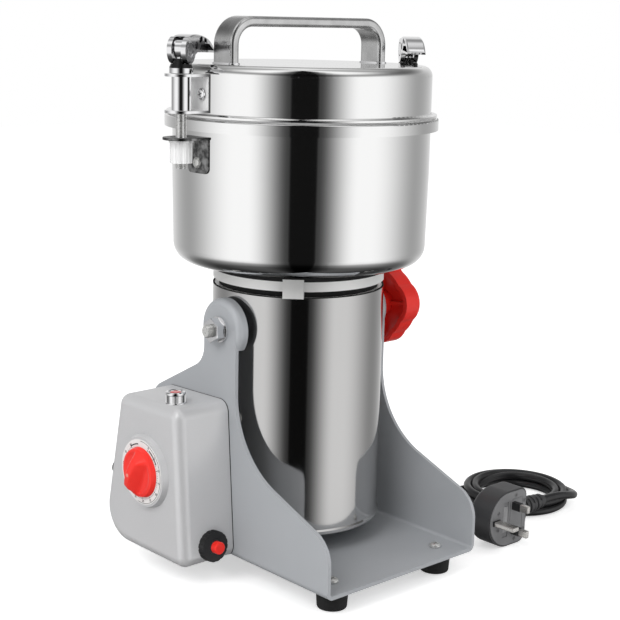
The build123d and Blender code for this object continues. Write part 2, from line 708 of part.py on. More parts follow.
# Upper end frame: vented disc with the bearing seat, posts on the core, and the light alloy band with
# three outer posts that carries the bowl above the shell
UPPER_BEARING = 218.0
DISC_BOTTOM = 226.0
BAND_RADIUS = 70.2
BAND_INSIDE = 66.0
BAND_BOTTOM = 233.0
BAND_TOP = 245.0
WINDOW_TOP = 237.2
WINDOW_HALF_ANGLE = 38.0
POST_ANGLES = (225, 345, 105)
OUTER_POST = (9.4, 16.5)
OUTER_POST_CIRCLE = 67.6
with BuildPart() as upper_end_frame:
    with BuildSketch(level(DISC_BOTTOM)):
        Circle(SHELL_INSIDE - PASSING)
        with PolarLocations(46, 6, start_angle=15):
            Circle(11, mode=Mode.SUBTRACT)
    extrude(amount=SHELL_TOP - DISC_BOTTOM)
    with BuildSketch(level(UPPER_BEARING - HUB_FLOOR)):
        Circle(HUB_RADIUS)
    extrude(amount=HUB_TALL)
    with BuildSketch(level(DISC_BOTTOM)):
        with PolarLocations(POST_CIRCLE, 4, start_angle=45):
            Rectangle(POST_DEEP, ARM_WIDE)
    extrude(amount=CORE_TOP - DISC_BOTTOM)
    with BuildSketch(level(BAND_BOTTOM)):
        Circle(BAND_RADIUS)
        Circle(BAND_INSIDE, mode=Mode.SUBTRACT)
    extrude(amount=BAND_TOP - BAND_BOTTOM)
    for angle in POST_ANGLES:
        with BuildSketch(level(BAND_BOTTOM)):
            with BuildLine():
                reach = CenterArc((0, 0), BAND_RADIUS + 5, angle - WINDOW_HALF_ANGLE, 2 * WINDOW_HALF_ANGLE)
                Line(reach @ 0, (0, 0))
                Line((0, 0), reach @ 1)
            make_face()
        extrude(amount=WINDOW_TOP - BAND_BOTTOM, mode=Mode.SUBTRACT)
    with BuildSketch(level(SHELL_TOP)):
        for angle in POST_ANGLES:
            with PolarLocations(OUTER_POST_CIRCLE, 1, start_angle=angle):
                Rectangle(*OUTER_POST)
    extrude(amount=BOWL_SEAT - SHELL_TOP)
    with BuildSketch(level(UPPER_BEARING - HUB_FLOOR)):
        Circle(BEARING_RADIUS)
    extrude(amount=BEARING_TALL + HUB_FLOOR, mode=Mode.SUBTRACT)
    with BuildSketch(level(UPPER_BEARING)):
        Circle(SHAFT_PASSAGE)
    extrude(amount=HUB_TALL, mode=Mode.SUBTRACT)
finish(upper_end_frame, "upper_end_frame")

# Two equal ball bearings, drawn as closed rings
with BuildPart() as bearings:
    for bottom in (LOWER_BEARING, UPPER_BEARING):
        with BuildSketch(level(bottom)):
            Circle(BEARING_RADIUS)
            Circle(SHAFT_RADIUS + RUNNING, mode=Mode.SUBTRACT)
        extrude(amount=BEARING_TALL)
finish(bearings, "bearings")

# Stator: a laminated ring with two poles, and a coil round each pole
POLE_WIDTH = 40.0
YOKE_INSIDE = 54.0
AIR_GAP = 0.7
COIL_OVERHANG = 7.5
with BuildPart() as stator_core:
    with BuildSketch(level(CORE_BOTTOM)):
        Circle(CORE_RADIUS)
        Circle(YOKE_INSIDE, mode=Mode.SUBTRACT)
        Rectangle(2 * YOKE_INSIDE, POLE_WIDTH)
        Circle(ARMATURE_RADIUS + AIR_GAP, mode=Mode.SUBTRACT)
    extrude(amount=CORE_TOP - CORE_BOTTOM)
finish(stator_core, "stator_core")

with BuildPart() as field_coils:
    for side in (-1, 1):
        with BuildSketch(sideways(side * 36.5, 0, (CORE_BOTTOM + CORE_TOP) / 2)):
            RectangleRounded(POLE_WIDTH + 16, CORE_TOP - CORE_BOTTOM + 2 * COIL_OVERHANG, COIL_OVERHANG)
            Rectangle(POLE_WIDTH, CORE_TOP - CORE_BOTTOM, mode=Mode.SUBTRACT)
        extrude(amount=side * 9)
finish(field_coils, "field_coils")

# Brush gear: two holders on the lower end frame, and the carbons that run on the commutator
COMMUTATOR_RADIUS = 18.0
BRUSH = (6.0, 10.0)
HOLDER = (14.0, 18.0)
brush_z = BRUSH_PAD + HOLDER[1] / 2
with BuildPart() as brush_holders:
    for side in (-1, 1):
        with BuildSketch(facing(side * 24, 0, brush_z)):
            Rectangle(*HOLDER)
            Rectangle(*BRUSH, mode=Mode.SUBTRACT)
        extrude(amount=-side * 34)
finish(brush_holders, "brush_holders")

with BuildPart() as carbon_brushes:
    for side in (-1, 1):
        with BuildSketch(facing(side * (COMMUTATOR_RADIUS + 0.4), 0, brush_z)):
            Rectangle(*BRUSH)
        extrude(amount=-side * 24)
finish(carbon_brushes, "carbon_brushes")

# ---- Rotor ---------------------------------------------------------------------------------------
BLADE_SEAT = 268.0
UPPER_BLADE = 285.0
TIP_RADIUS = 5.0
SHAFT_FOOT = 47.0
SHAFT_TOP = 300.0
SHOULDER_RADIUS = 9.0
SHOULDER_TALL = 4.0

# Shaft: through both bearings and the bowl floor, with a shoulder under the blades and a spacer between them
with BuildPart() as rotor_shaft:
    with BuildSketch(facing()):
        with BuildLine():
            Polyline(
                (0, SHAFT_FOOT),
                (SHAFT_RADIUS, SHAFT_FOOT),
                (SHAFT_RADIUS, BLADE_SEAT - SHOULDER_TALL),
                (SHOULDER_RADIUS, BLADE_SEAT - SHOULDER_TALL),
                (SHOULDER_RADIUS, BLADE_SEAT),
                (TIP_RADIUS, BLADE_SEAT),
                (TIP_RADIUS, SHAFT_TOP),
                (0, SHAFT_TOP),
                close=True,
            )
        make_face()
    revolve(axis=MOTOR_AXIS)
finish(rotor_shaft, "rotor_shaft")

# Armature: slotted laminations between two rings of end windings
ARMATURE_SLOTS = 12
WINDING_RADIUS = 27.0
WINDING_INSIDE = 11.0
WINDING_TALL = 7.0
with BuildPart() as armature:
    with BuildSketch(level(CORE_BOTTOM + 1)):
        Circle(ARMATURE_RADIUS)
        with PolarLocations(ARMATURE_RADIUS - 2, ARMATURE_SLOTS):
            Rectangle(6, 2.4, mode=Mode.SUBTRACT)
        Circle(SHAFT_RADIUS, mode=Mode.SUBTRACT)
    extrude(amount=CORE_TOP - CORE_BOTTOM - 2)
    for bottom in (CORE_BOTTOM + 1 - WINDING_TALL, CORE_TOP - 1):
        with BuildSketch(level(bottom)):
            Circle(WINDING_RADIUS)
            Circle(WINDING_INSIDE, mode=Mode.SUBTRACT)
        extrude(amount=WINDING_TALL)
finish(armature, "armature")

COMMUTATOR_TALL = 19.0
with BuildPart() as commutator:
    with BuildSketch(level(BRUSH_PAD)):
        Circle(COMMUTATOR_RADIUS)
        Circle(SHAFT_RADIUS, mode=Mode.SUBTRACT)
    extrude(amount=COMMUTATOR_TALL)
finish(commutator, "commutator")

# Cooling fan above the armature
FAN_Z = 184.0
FAN_RADIUS = 55.0
FAN_SHEET = 2.0
FAN_HUB = 14.0
FAN_TALL = 12.0
FAN_VANES = 10
VANE_LEAN = 20.0
with BuildPart() as cooling_fan:
    with BuildSketch(level(FAN_Z)):
        Circle(FAN_RADIUS)
    extrude(amount=FAN_SHEET)
    with BuildSketch(level(FAN_Z)):
        Circle(FAN_HUB)
    extrude(amount=FAN_TALL)
    with BuildSketch(level(FAN_Z + FAN_SHEET)):
        with PolarLocations(35, FAN_VANES):
            Rectangle(36, FAN_SHEET, rotation=VANE_LEAN)
    extrude(amount=FAN_TALL)
    with BuildSketch(level(FAN_Z)):
        Circle(SHAFT_RADIUS)
    extrude(amount=FAN_TALL, mode=Mode.SUBTRACT)
finish(cooling_fan, "cooling_fan")

# Lower blade: a flat bar, ground to an edge on each leading side
BLADE_HALF = 88.0
BLADE_THICK = 3.0
BLADE_HUB = 18.0
BLADE_GRIND = 2.2
with BuildPart() as lower_blade:
    with BuildSketch(level(BLADE_SEAT)):
        with BuildLine():
            Polyline(
                (-14, -15),
                (BLADE_HALF - 12, -13),
                (BLADE_HALF, -2),
                (BLADE_HALF, 9),
                (14, 15),
                (-BLADE_HALF + 12, 13),
                (-BLADE_HALF, 2),
                (-BLADE_HALF, -9),
                close=True,
            )
        make_face()
    extrude(amount=BLADE_THICK)
    top_edges = lower_blade.edges().group_by(Axis.Z)[-1]
    chamfer(top_edges.group_by(SortBy.LENGTH)[-1], BLADE_GRIND)
    with BuildSketch(level(BLADE_SEAT)):
        Circle(BLADE_HUB)
    extrude(amount=BLADE_THICK)
    with BuildSketch(level(BLADE_SEAT)):
        Circle(TIP_RADIUS)
    extrude(amount=BLADE_THICK, mode=Mode.SUBTRACT)
finish(lower_blade, "lower_blade")

# Upper blade: its two wings are bent up, across the lower blade, on a welded spacer
WING_WIDE = 24.0
WING_END = 72.0
WING_BEND = 24.0
WING_TIP = UPPER_BLADE + 26
with BuildPart() as upper_blade:
    with BuildSketch(sideways(-WING_WIDE / 2)):
        with BuildLine():
            Polyline(
                (-WING_END, WING_TIP),
                (-WING_BEND, UPPER_BLADE),
                (WING_BEND, UPPER_BLADE),
                (WING_END, WING_TIP),
                (WING_END, WING_TIP + BLADE_THICK),
                (WING_BEND - 0.7, UPPER_BLADE + BLADE_THICK),
                (0.7 - WING_BEND, UPPER_BLADE + BLADE_THICK),
                (-WING_END, WING_TIP + BLADE_THICK),
                close=True,
            )
        make_face()
    extrude(amount=WING_WIDE)
    with BuildSketch(level(BLADE_SEAT + BLADE_THICK)):
        Circle(SHOULDER_RADIUS)
    extrude(amount=UPPER_BLADE - BLADE_SEAT - BLADE_THICK)
    with BuildSketch(level(BLADE_SEAT)):
        Circle(TIP_RADIUS)
    extrude(amount=WING_TIP - BLADE_SEAT, mode=Mode.SUBTRACT)
finish(upper_blade, "upper_blade")

# Blade nut: a hexagon with a domed cap over the shaft's end
NUT_SEAT = UPPER_BLADE + BLADE_THICK
HALF_ACROSS_FLATS = 8.5
BLADE_NUT_TALL = 9.0
CAP_RADIUS = 8.0
CAP_TALL = 8.0
CAP_TAPER = 20.0
with BuildPart() as blade_nut:
    with BuildSketch(level(NUT_SEAT)):
        RegularPolygon(HALF_ACROSS_FLATS, 6, major_radius=False)
    extrude(amount=BLADE_NUT_TALL)
    with BuildSketch(level(NUT_SEAT + BLADE_NUT_TALL)):
        Circle(CAP_RADIUS)
    extrude(amount=CAP_TALL, taper=CAP_TAPER)
    with BuildSketch(level(NUT_SEAT)):
        Circle(TIP_RADIUS)
    extrude(amount=SHAFT_TOP - NUT_SEAT, mode=Mode.SUBTRACT)
finish(blade_nut, "blade_nut")

# ---- Pivots --------------------------------------------------------------------------------------
STUD_END = 97.0
STUD_CHAMFER = 0.8
NUT_START = HALF_FRAME + PASSING
WASHER_THICK = 1.6
WASHER_RADIUS = 10.5
PIVOT_NUT_THICK = 8.0
CLAMP_WASHER_RADIUS = 12.0
# Left pivot: a stud fixed in the shell's boss, turning in its bush
with BuildPart() as pivot_stud:
    with BuildSketch(sideways(-BOSS_START, 0, PIVOT_Z)):
        Circle(STUD_RADIUS)
    extrude(amount=-(STUD_END - BOSS_START))
    chamfer(pivot_stud.edges().sort_by(Axis.X)[0], STUD_CHAMFER)
finish(pivot_stud, "pivot_stud")

with BuildPart() as pivot_nut:
    with BuildSketch(sideways(-NUT_START, 0, PIVOT_Z)):
        Circle(WASHER_RADIUS)
    extrude(amount=-WASHER_THICK)
    with BuildSketch(sideways(-NUT_START - WASHER_THICK, 0, PIVOT_Z)):
        RegularPolygon(HALF_ACROSS_FLATS, 6, major_radius=False, rotation=30)
    extrude(amount=-PIVOT_NUT_THICK)
    with BuildSketch(sideways(-NUT_START, 0, PIVOT_Z)):
        Circle(STUD_RADIUS)
    extrude(amount=-(WASHER_THICK + PIVOT_NUT_THICK), mode=Mode.SUBTRACT)
finish(pivot_nut, "pivot_nut")

# Right pivot: a clamping knob on a stud that screws into the shell's boss
with BuildPart() as clamp_washer:
    with BuildSketch(sideways(NUT_START, 0, PIVOT_Z)):
        Circle(CLAMP_WASHER_RADIUS)
        Circle(STUD_RADIUS + RUNNING, mode=Mode.SUBTRACT)
    extrude(amount=WASHER_THICK)
finish(clamp_washer, "clamp_washer")

KNOB_START = NUT_START + WASHER_THICK + PASSING
KNOB_RIM = 93.5
KNOB_FRONT = 112.0
KNOB_LOBE = 35.5
KNOB_BODY = 31.0
KNOB_INSIDE = 27.0
KNOB_WALL = 4.0
KNOB_WEB = 5.0
KNOB_EDGE = 4.0
KNOB_HUB = 11.0
LOBE_RADIUS = 19.0
LOBE_TURN = -7.0
LOBE_VALLEY = 8.0
RIB = 3.0
RIB_LONG = 60.0
STUD_DEEP = 104.0
with BuildPart() as knob_stud:
    with BuildSketch(sideways(BOSS_START + 0.5, 0, PIVOT_Z)):
        Circle(STUD_RADIUS)
    extrude(amount=STUD_DEEP - BOSS_START - 0.5)
finish(knob_stud, "knob_stud")

# The knob has four lobes round a hollow back, and ribs from its hub to its rim
with BuildPart() as star_knob:
    with BuildSketch(sideways(KNOB_RIM, 0, PIVOT_Z)) as lobes:
        Circle(KNOB_BODY)
        with PolarLocations(KNOB_LOBE - LOBE_RADIUS, 4, start_angle=LOBE_TURN):
            Circle(LOBE_RADIUS)
        fillet(lobes.vertices(), LOBE_VALLEY)
    extrude(amount=KNOB_FRONT - KNOB_RIM)
    front = star_knob.faces().sort_by(Axis.X)[-1]
    fillet(front.edges(), KNOB_EDGE)
    with BuildSketch(sideways(KNOB_RIM, 0, PIVOT_Z)):
        Circle(KNOB_INSIDE)
        with PolarLocations(KNOB_LOBE - LOBE_RADIUS, 4, start_angle=LOBE_TURN):
            Circle(LOBE_RADIUS - KNOB_WALL)
    extrude(amount=KNOB_FRONT - KNOB_WEB - KNOB_RIM, mode=Mode.SUBTRACT)
    with BuildSketch(sideways(KNOB_RIM + RIB, 0, PIVOT_Z)):
        Rectangle(RIB_LONG, RIB, rotation=LOBE_TURN)
        Rectangle(RIB, RIB_LONG, rotation=LOBE_TURN)
    extrude(amount=KNOB_FRONT - KNOB_WEB - KNOB_RIM - RIB)
    with BuildSketch(sideways(KNOB_START, 0, PIVOT_Z)):
        Circle(KNOB_HUB)
    extrude(amount=KNOB_FRONT - KNOB_WEB - KNOB_START)
    with BuildSketch(sideways(KNOB_START, 0, PIVOT_Z)):
        Circle(STUD_RADIUS)
    extrude(amount=STUD_DEEP - KNOB_START, mode=Mode.SUBTRACT)
finish(star_knob, "star_knob")

# ---- Bowl and lid --------------------------------------------------------------------------------
FIXING_RADIUS = 2.5
SCREW_OFFSET = -6.0
BRACKET_SCREW_Z = 388.0
RIVET_Z = 336.0
CORNER = 15.0
WALL_FOOT = BOWL_RADIUS - 1.2
WALL_UPRIGHT = 325.0
SEAT_RADIUS = 76.0
SHAFT_HOLE = 6.8
COLLAR_OUTSIDE = 11.0
RIM_EDGE = 1.4
with BuildPart() as bowl:
    with BuildSketch(facing()) as bowl_profile:
        with BuildLine():
            Polyline(
                (SHAFT_HOLE, BOWL_SEAT),
                (SEAT_RADIUS, BOWL_SEAT),
                (SEAT_RADIUS, BOWL_BOTTOM),
                (WALL_FOOT, BOWL_BOTTOM),
                (BOWL_RADIUS, WALL_UPRIGHT),
                (BOWL_RADIUS, RIM_TOP - SKIN),
                (RIM_RADIUS - SKIN, RIM_TOP - SKIN),
                (RIM_RADIUS - SKIN, RIM_BOTTOM),
                (RIM_RADIUS, RIM_BOTTOM),
                (RIM_RADIUS, RIM_TOP),
                (BOWL_RADIUS - SKIN, RIM_TOP),
                (BOWL_RADIUS - SKIN, WALL_UPRIGHT),
                (WALL_FOOT - SKIN, BOWL_BOTTOM + SKIN),
                (COLLAR_OUTSIDE, BOWL_BOTTOM + SKIN),
                (COLLAR_OUTSIDE, BLADE_SEAT - SHOULDER_TALL - 1),
                (SHAFT_HOLE, BLADE_SEAT - SHOULDER_TALL - 1),
                close=True,
            )
        make_face()
        fillet(corner(bowl_profile, WALL_FOOT, BOWL_BOTTOM), CORNER)
        fillet(corner(bowl_profile, WALL_FOOT - SKIN, BOWL_BOTTOM + SKIN), CORNER - SKIN)
        fillet(corner(bowl_profile, RIM_RADIUS, RIM_TOP), RIM_EDGE)
    revolve(axis=MOTOR_AXIS)
    with BuildSketch(sideways(0, 0, RIVET_Z)):
        Circle(FIXING_RADIUS)
    extrude(amount=RIM_RADIUS, both=True, mode=Mode.SUBTRACT)
finish(bowl, "bowl")

LID_FLANGE = 108.5
LID_CORNER = 8.0
LID_HOLLOW = 1.8
with BuildPart() as lid:
    with BuildSketch(facing()) as lid_profile:
        with BuildLine():
            Polyline(
                (0, LID_TOP),
                (BOWL_RADIUS, LID_TOP),
                (BOWL_RADIUS, LID_FOOT + SKIN),
                (LID_FLANGE, LID_FOOT + SKIN),
                (LID_FLANGE, LID_FOOT),
                (BOWL_RADIUS - SKIN, LID_FOOT),
                (BOWL_RADIUS - SKIN, LID_TOP - SKIN),
                (0, LID_TOP - SKIN),
                close=True,
            )
        make_face()
        fillet(corner(lid_profile, BOWL_RADIUS, LID_TOP), LID_CORNER)
        fillet(corner(lid_profile, BOWL_RADIUS - SKIN, LID_TOP - SKIN), LID_CORNER - SKIN)
        fillet(corner(lid_profile, BOWL_RADIUS, LID_FOOT + SKIN), LID_HOLLOW)
    revolve(axis=MOTOR_AXIS)
    with BuildSketch(sideways(0, SCREW_OFFSET, BRACKET_SCREW_Z)):
        Circle(FIXING_RADIUS)
    extrude(amount=RIM_RADIUS, both=True, mode=Mode.SUBTRACT)
finish(lid, "lid")

SEAL_RADIUS = 107.5
SEAL_INSIDE = 99.0
with BuildPart() as lid_seal:
    with BuildSketch(level(RIM_TOP + PASSING)):
        Circle(SEAL_RADIUS)
        Circle(SEAL_INSIDE, mode=Mode.SUBTRACT)
    extrude(amount=LID_FOOT - RIM_TOP - PASSING)
finish(lid_seal, "lid_seal")

# Handle: a chromed strap with rounded edges, bent twice and welded to the lid
STRAP_WIDE = 24.0
STRAP_THICK = 8.0
STRAP_EDGE = 3.0
STRAP_BEND = 18.0
strap_x = (HANDLE_SPAN - STRAP_THICK) / 2
with BuildPart() as handle:
    with BuildLine(facing()):
        FilletPolyline(
            (-strap_x, LID_TOP),
            (-strap_x, HANDLE_TOP - STRAP_THICK / 2),
            (strap_x, HANDLE_TOP - STRAP_THICK / 2),
            (strap_x, LID_TOP),
            radius=STRAP_BEND,
        )
    with BuildSketch(level(LID_TOP, -strap_x)):
        RectangleRounded(STRAP_THICK, STRAP_WIDE, STRAP_EDGE)
    sweep()
finish(handle, "handle")

# ---- Latches -------------------------------------------------------------------------------------
BRACKET_SHEET = 2.0
BRACKET_HALF = 12.5
BRACKET_OUTSIDE = BOWL_RADIUS + BRACKET_SHEET
LID_BRACKET_BOTTOM = 374.0
LID_BRACKET_TOP = 403.0
TUBE_RADIUS = 7.3
ROD_CLEAR = 0.08
SLIDE_GAP = 0.3
ROD_HOLE = ROD_RADIUS + ROD_CLEAR
TAB_HALF = 14.0
BOWL_BRACKET_BOTTOM = 328.0
PLATE_CORNER = 10.0
SLOT_HALF = 4.8
SLOT_SHIFT = 0.3
ROD_BOTTOM = 332.5
EYE_RADIUS = 7.0
EYE_HALF = 3.6
PIN_RADIUS = 3.0
PIN_HEAD_RADIUS = 5.0
PIN_HEAD_THICK = 1.3
COLLAR_RADIUS = 9.0
COLLAR_TOP = 407.5
SADDLE_TOP = LEVER_PIN_Z - EYE_RADIUS
SADDLE_TAPER = 24.0
CAM_RADIUS = 9.9
CAM_DROP = 0.9
CHEEK_START = EYE_HALF + PASSING
CHEEK_END = 7.5
CHEEK_POCKET = 6.0
SHOULDER_Z = LEVER_PIN_Z - CAM_DROP - CAM_RADIUS - RUNNING
ARM_WEB_HALF = 1.5
ARM_EDGE = 1.6
LATCH_NUT_BOTTOM = 336.6
LATCH_NUT_TOP = TAB_TOP - BRACKET_SHEET - PASSING
LATCH_NUT_RADIUS = 8.5
LATCH_NUT_FLANGE = 9.3
LATCH_NUT_FLANGE_THICK = 1.8
LATCH_NUT_FLUTES = 12
LATCH_FLUTE_RADIUS = 1.3

# each lever's arm is turned about its rod, away from the lid's middle, so that it clears the handle's leg
for side, word, lever_turn in ((-1, "left", 30.0), (1, "right", 52.0)):
    rod_x = side * LATCH_X
    arm_way = Vector(-side, 0, 0).rotate(Axis.Z, lever_turn)
    pin_way = arm_way.cross(Vector(0, 0, 1))
    lever_plane = Plane(origin=(AXIS_X + rod_x, AXIS_Y, LEVER_PIN_Z), x_dir=arm_way, z_dir=pin_way)
    saddle_plane = Plane(origin=(AXIS_X + rod_x, AXIS_Y, SHOULDER_Z), x_dir=arm_way, z_dir=pin_way)

    # Lid bracket: a web curved to the lid's wall, two tongues, and a tube between them for the rod
    with BuildPart() as lid_bracket:
        with BuildSketch(level(LID_BRACKET_BOTTOM, rod_x)):
            Circle(BRACKET_HALF)
            with Locations((-side * BRACKET_HALF, 0)):
                Rectangle(2 * BRACKET_HALF, 2 * BRACKET_HALF)
            with Locations((-rod_x, 0)):
                Circle(BOWL_RADIUS, mode=Mode.SUBTRACT)
        extrude(amount=LID_BRACKET_TOP - LID_BRACKET_BOTTOM)
        with BuildSketch(level(LID_BRACKET_BOTTOM + BRACKET_SHEET)):
            Circle(LATCH_X + 2 * BRACKET_HALF)
            Circle(BRACKET_OUTSIDE, mode=Mode.SUBTRACT)
        extrude(amount=LID_BRACKET_TOP - LID_BRACKET_BOTTOM - 2 * BRACKET_SHEET, mode=Mode.SUBTRACT)
        with BuildSketch(level(LID_BRACKET_BOTTOM, rod_x)):
            Circle(TUBE_RADIUS)
        extrude(amount=LID_BRACKET_TOP - LID_BRACKET_BOTTOM)
        with BuildSketch(level(LID_BRACKET_BOTTOM, rod_x)):
            Circle(ROD_HOLE)
        extrude(amount=LID_BRACKET_TOP - LID_BRACKET_BOTTOM, mode=Mode.SUBTRACT)
        with BuildSketch(sideways(0, SCREW_OFFSET, BRACKET_SCREW_Z)):
            Circle(FIXING_RADIUS)
        extrude(amount=side * (BRACKET_OUTSIDE + 1), mode=Mode.SUBTRACT)
    finish(lid_bracket, f"{word}_lid_bracket")

    # Bowl bracket: a plate riveted to the bowl, with a tab bent out from its top; the right tab's slot
    # opens to +Y, where the rod swings out with the lid
    with BuildPart() as bowl_bracket:
        with BuildSketch(level(BOWL_BRACKET_BOTTOM)):
            Circle(BRACKET_OUTSIDE)
            Circle(BOWL_RADIUS, mode=Mode.SUBTRACT)
            with Locations((rod_x - side * BRACKET_HALF, 0)):
                Rectangle(2 * BRACKET_HALF, 2 * BRACKET_HALF, mode=Mode.INTERSECT)
        extrude(amount=TAB_TOP - BOWL_BRACKET_BOTTOM)
        with BuildSketch(sideways(0, 0, TAB_TOP)) as plate:
            Rectangle(2 * BRACKET_HALF, TAB_TOP - BOWL_BRACKET_BOTTOM, align=(Align.CENTER, Align.MAX))
            fillet(plate.vertices().group_by(Axis.Y)[0], PLATE_CORNER)
        extrude(amount=side * LATCH_X, mode=Mode.INTERSECT)
        with BuildSketch(level(TAB_TOP, rod_x)):
            Circle(TAB_HALF)
            with Locations((-side * BRACKET_HALF, 0)):
                Rectangle(2 * BRACKET_HALF, 2 * BRACKET_HALF)
            with Locations((-rod_x, 0)):
                Circle(BOWL_RADIUS, mode=Mode.SUBTRACT)
            if side < 0:
                Circle(ROD_RADIUS + SLIDE_GAP, mode=Mode.SUBTRACT)
            else:
                with Locations((-SLOT_SHIFT, 0)):
                    Circle(SLOT_HALF, mode=Mode.SUBTRACT)
                    Rectangle(
                        2 * SLOT_HALF,
                        2 * TAB_HALF,
                        align=(Align.CENTER, Align.MIN),
                        mode=Mode.SUBTRACT,
                    )
        extrude(amount=-BRACKET_SHEET)
        with BuildSketch(sideways(0, 0, RIVET_Z)):
            Circle(FIXING_RADIUS)
        extrude(amount=side * (BRACKET_OUTSIDE + 1), mode=Mode.SUBTRACT)
    finish(bowl_bracket, f"{word}_bowl_bracket")

    # Rod: hangs through the brackets, with a flat eye and a fixed cross pin at its top
    with BuildPart() as latch_rod:
        with BuildSketch(level(ROD_BOTTOM, rod_x)):
            Circle(ROD_RADIUS)
        extrude(amount=SHOULDER_Z - ROD_BOTTOM)
        with BuildSketch(level(SHOULDER_Z, rod_x)):
            Circle(ROD_RADIUS)
            Rectangle(2 * ROD_RADIUS, 2 * EYE_HALF, rotation=lever_turn, mode=Mode.INTERSECT)
        extrude(amount=LEVER_PIN_Z - SHOULDER_Z)
        with BuildSketch(lever_plane):
            Circle(EYE_RADIUS)
        extrude(amount=EYE_HALF, both=True)
        with BuildSketch(lever_plane):
            Circle(PIN_RADIUS)
        extrude(amount=CHEEK_END, both=True)
        for end in (-1, 1):
            with BuildSketch(lever_plane.offset(end * CHEEK_END)):
                Circle(PIN_HEAD_RADIUS)
            extrude(amount=-end * PIN_HEAD_THICK)
    finish(latch_rod, f"{word}_latch_rod")

    # Collar: a chromed ring that stands on the lid bracket
    with BuildPart() as latch_collar:
        with BuildSketch(level(LID_BRACKET_TOP + RUNNING, rod_x)):
            Circle(COLLAR_RADIUS)
            Circle(ROD_RADIUS + SLIDE_GAP, mode=Mode.SUBTRACT)
        extrude(amount=COLLAR_TOP - LID_BRACKET_TOP - RUNNING)
    finish(latch_collar, f"{word}_latch_collar")

    # Saddle: a black cup under the cam, its middle tongue between the lever's cheeks
    with BuildPart() as latch_saddle:
        with BuildSketch(level(COLLAR_TOP, rod_x)):
            Circle(COLLAR_RADIUS)
        extrude(amount=SADDLE_TOP - COLLAR_TOP, taper=SADDLE_TAPER)
        for end in (-1, 1):
            with BuildSketch(saddle_plane.offset(end * EYE_HALF)):
                Rectangle(4 * COLLAR_RADIUS, 2 * COLLAR_RADIUS, align=(Align.CENTER, Align.MIN))
            extrude(amount=end * 2 * COLLAR_RADIUS, mode=Mode.SUBTRACT)
        with BuildSketch(level(COLLAR_TOP, rod_x)):
            Circle(ROD_RADIUS + SLIDE_GAP)
        extrude(amount=SADDLE_TOP - COLLAR_TOP, mode=Mode.SUBTRACT)
    finish(latch_saddle, f"{word}_latch_saddle")

    # Lever: a cast cam lever with two cheeks on the pin and an arched arm. Both flanks are recessed down to
    # a middle web, with two small openings over the long recess
    with BuildPart() as lever:
        with BuildSketch(lever_plane):
            with Locations((0, -CAM_DROP)):
                Circle(CAM_RADIUS)
            with BuildLine():
                back = Spline((0, CAM_RADIUS - CAM_DROP), (9, 10.6), (24.5, 9.9), (41.6, 4.9), (49, -1.6))
                Polyline(back @ 1, (47.5, -3.2), (14, -2.4), (8, -4.5), (0, 0), back @ 0)
            make_face()
        extrude(amount=CHEEK_END, both=True)
        upper_edges = lever.edges().filter_by(GeomType.BSPLINE)
        fillet(upper_edges, ARM_EDGE)
        with BuildSketch(lever_plane):
            Circle(CAM_RADIUS - CAM_DROP)
            Rectangle(20, 30, align=(Align.MAX, Align.CENTER))
            Rectangle(19, 20, align=(Align.CENTER, Align.MAX))
        extrude(amount=CHEEK_START, both=True, mode=Mode.SUBTRACT)
        for end in (-1, 1):
            with BuildSketch(lever_plane.offset(end * CHEEK_END)) as recesses:
                with Locations((11.6, 2.6)):
                    Circle(2.9)
                with BuildLine():
                    Polyline((16.8, -0.6), (21.4, 3.2), (36.4, 3.6), (46, -1.2), (45.4, -1.6), close=True)
                make_face()
                with Locations((20.2, 6.9)):
                    SlotOverall(6.6, 4.0, rotation=20)
                with Locations((29.0, 6.3)):
                    SlotOverall(5.2, 2.8, rotation=-12)
            extrude(amount=end * (ARM_WEB_HALF - CHEEK_END), mode=Mode.SUBTRACT)
            with BuildSketch(lever_plane.offset(end * CHEEK_END)):
                Circle(CHEEK_POCKET)
            extrude(amount=-end * (PIN_HEAD_THICK + RUNNING), mode=Mode.SUBTRACT)
        with BuildSketch(lever_plane):
            Circle(PIN_RADIUS + ROD_CLEAR)
        extrude(amount=CHEEK_END, both=True, mode=Mode.SUBTRACT)
    finish(lever, f"{word}_lever")

    # Adjusting nut: a fluted knob under the bowl bracket's tab
    with BuildPart() as latch_nut:
        with BuildSketch(level(LATCH_NUT_BOTTOM, rod_x)):
            Circle(LATCH_NUT_RADIUS)
            with PolarLocations(LATCH_NUT_RADIUS + LATCH_FLUTE_RADIUS / 2, LATCH_NUT_FLUTES):
                Circle(LATCH_FLUTE_RADIUS, mode=Mode.SUBTRACT)
        extrude(amount=LATCH_NUT_TOP - LATCH_NUT_BOTTOM)
        with BuildSketch(level(LATCH_NUT_TOP, rod_x)):
            Circle(LATCH_NUT_FLANGE)
        extrude(amount=-LATCH_NUT_FLANGE_THICK)
        with BuildSketch(level(LATCH_NUT_BOTTOM, rod_x)):
            Circle(ROD_HOLE)
        extrude(amount=LATCH_NUT_TOP - LATCH_NUT_BOTTOM, mode=Mode.SUBTRACT)
    finish(latch_nut, f"{word}_latch_nut")

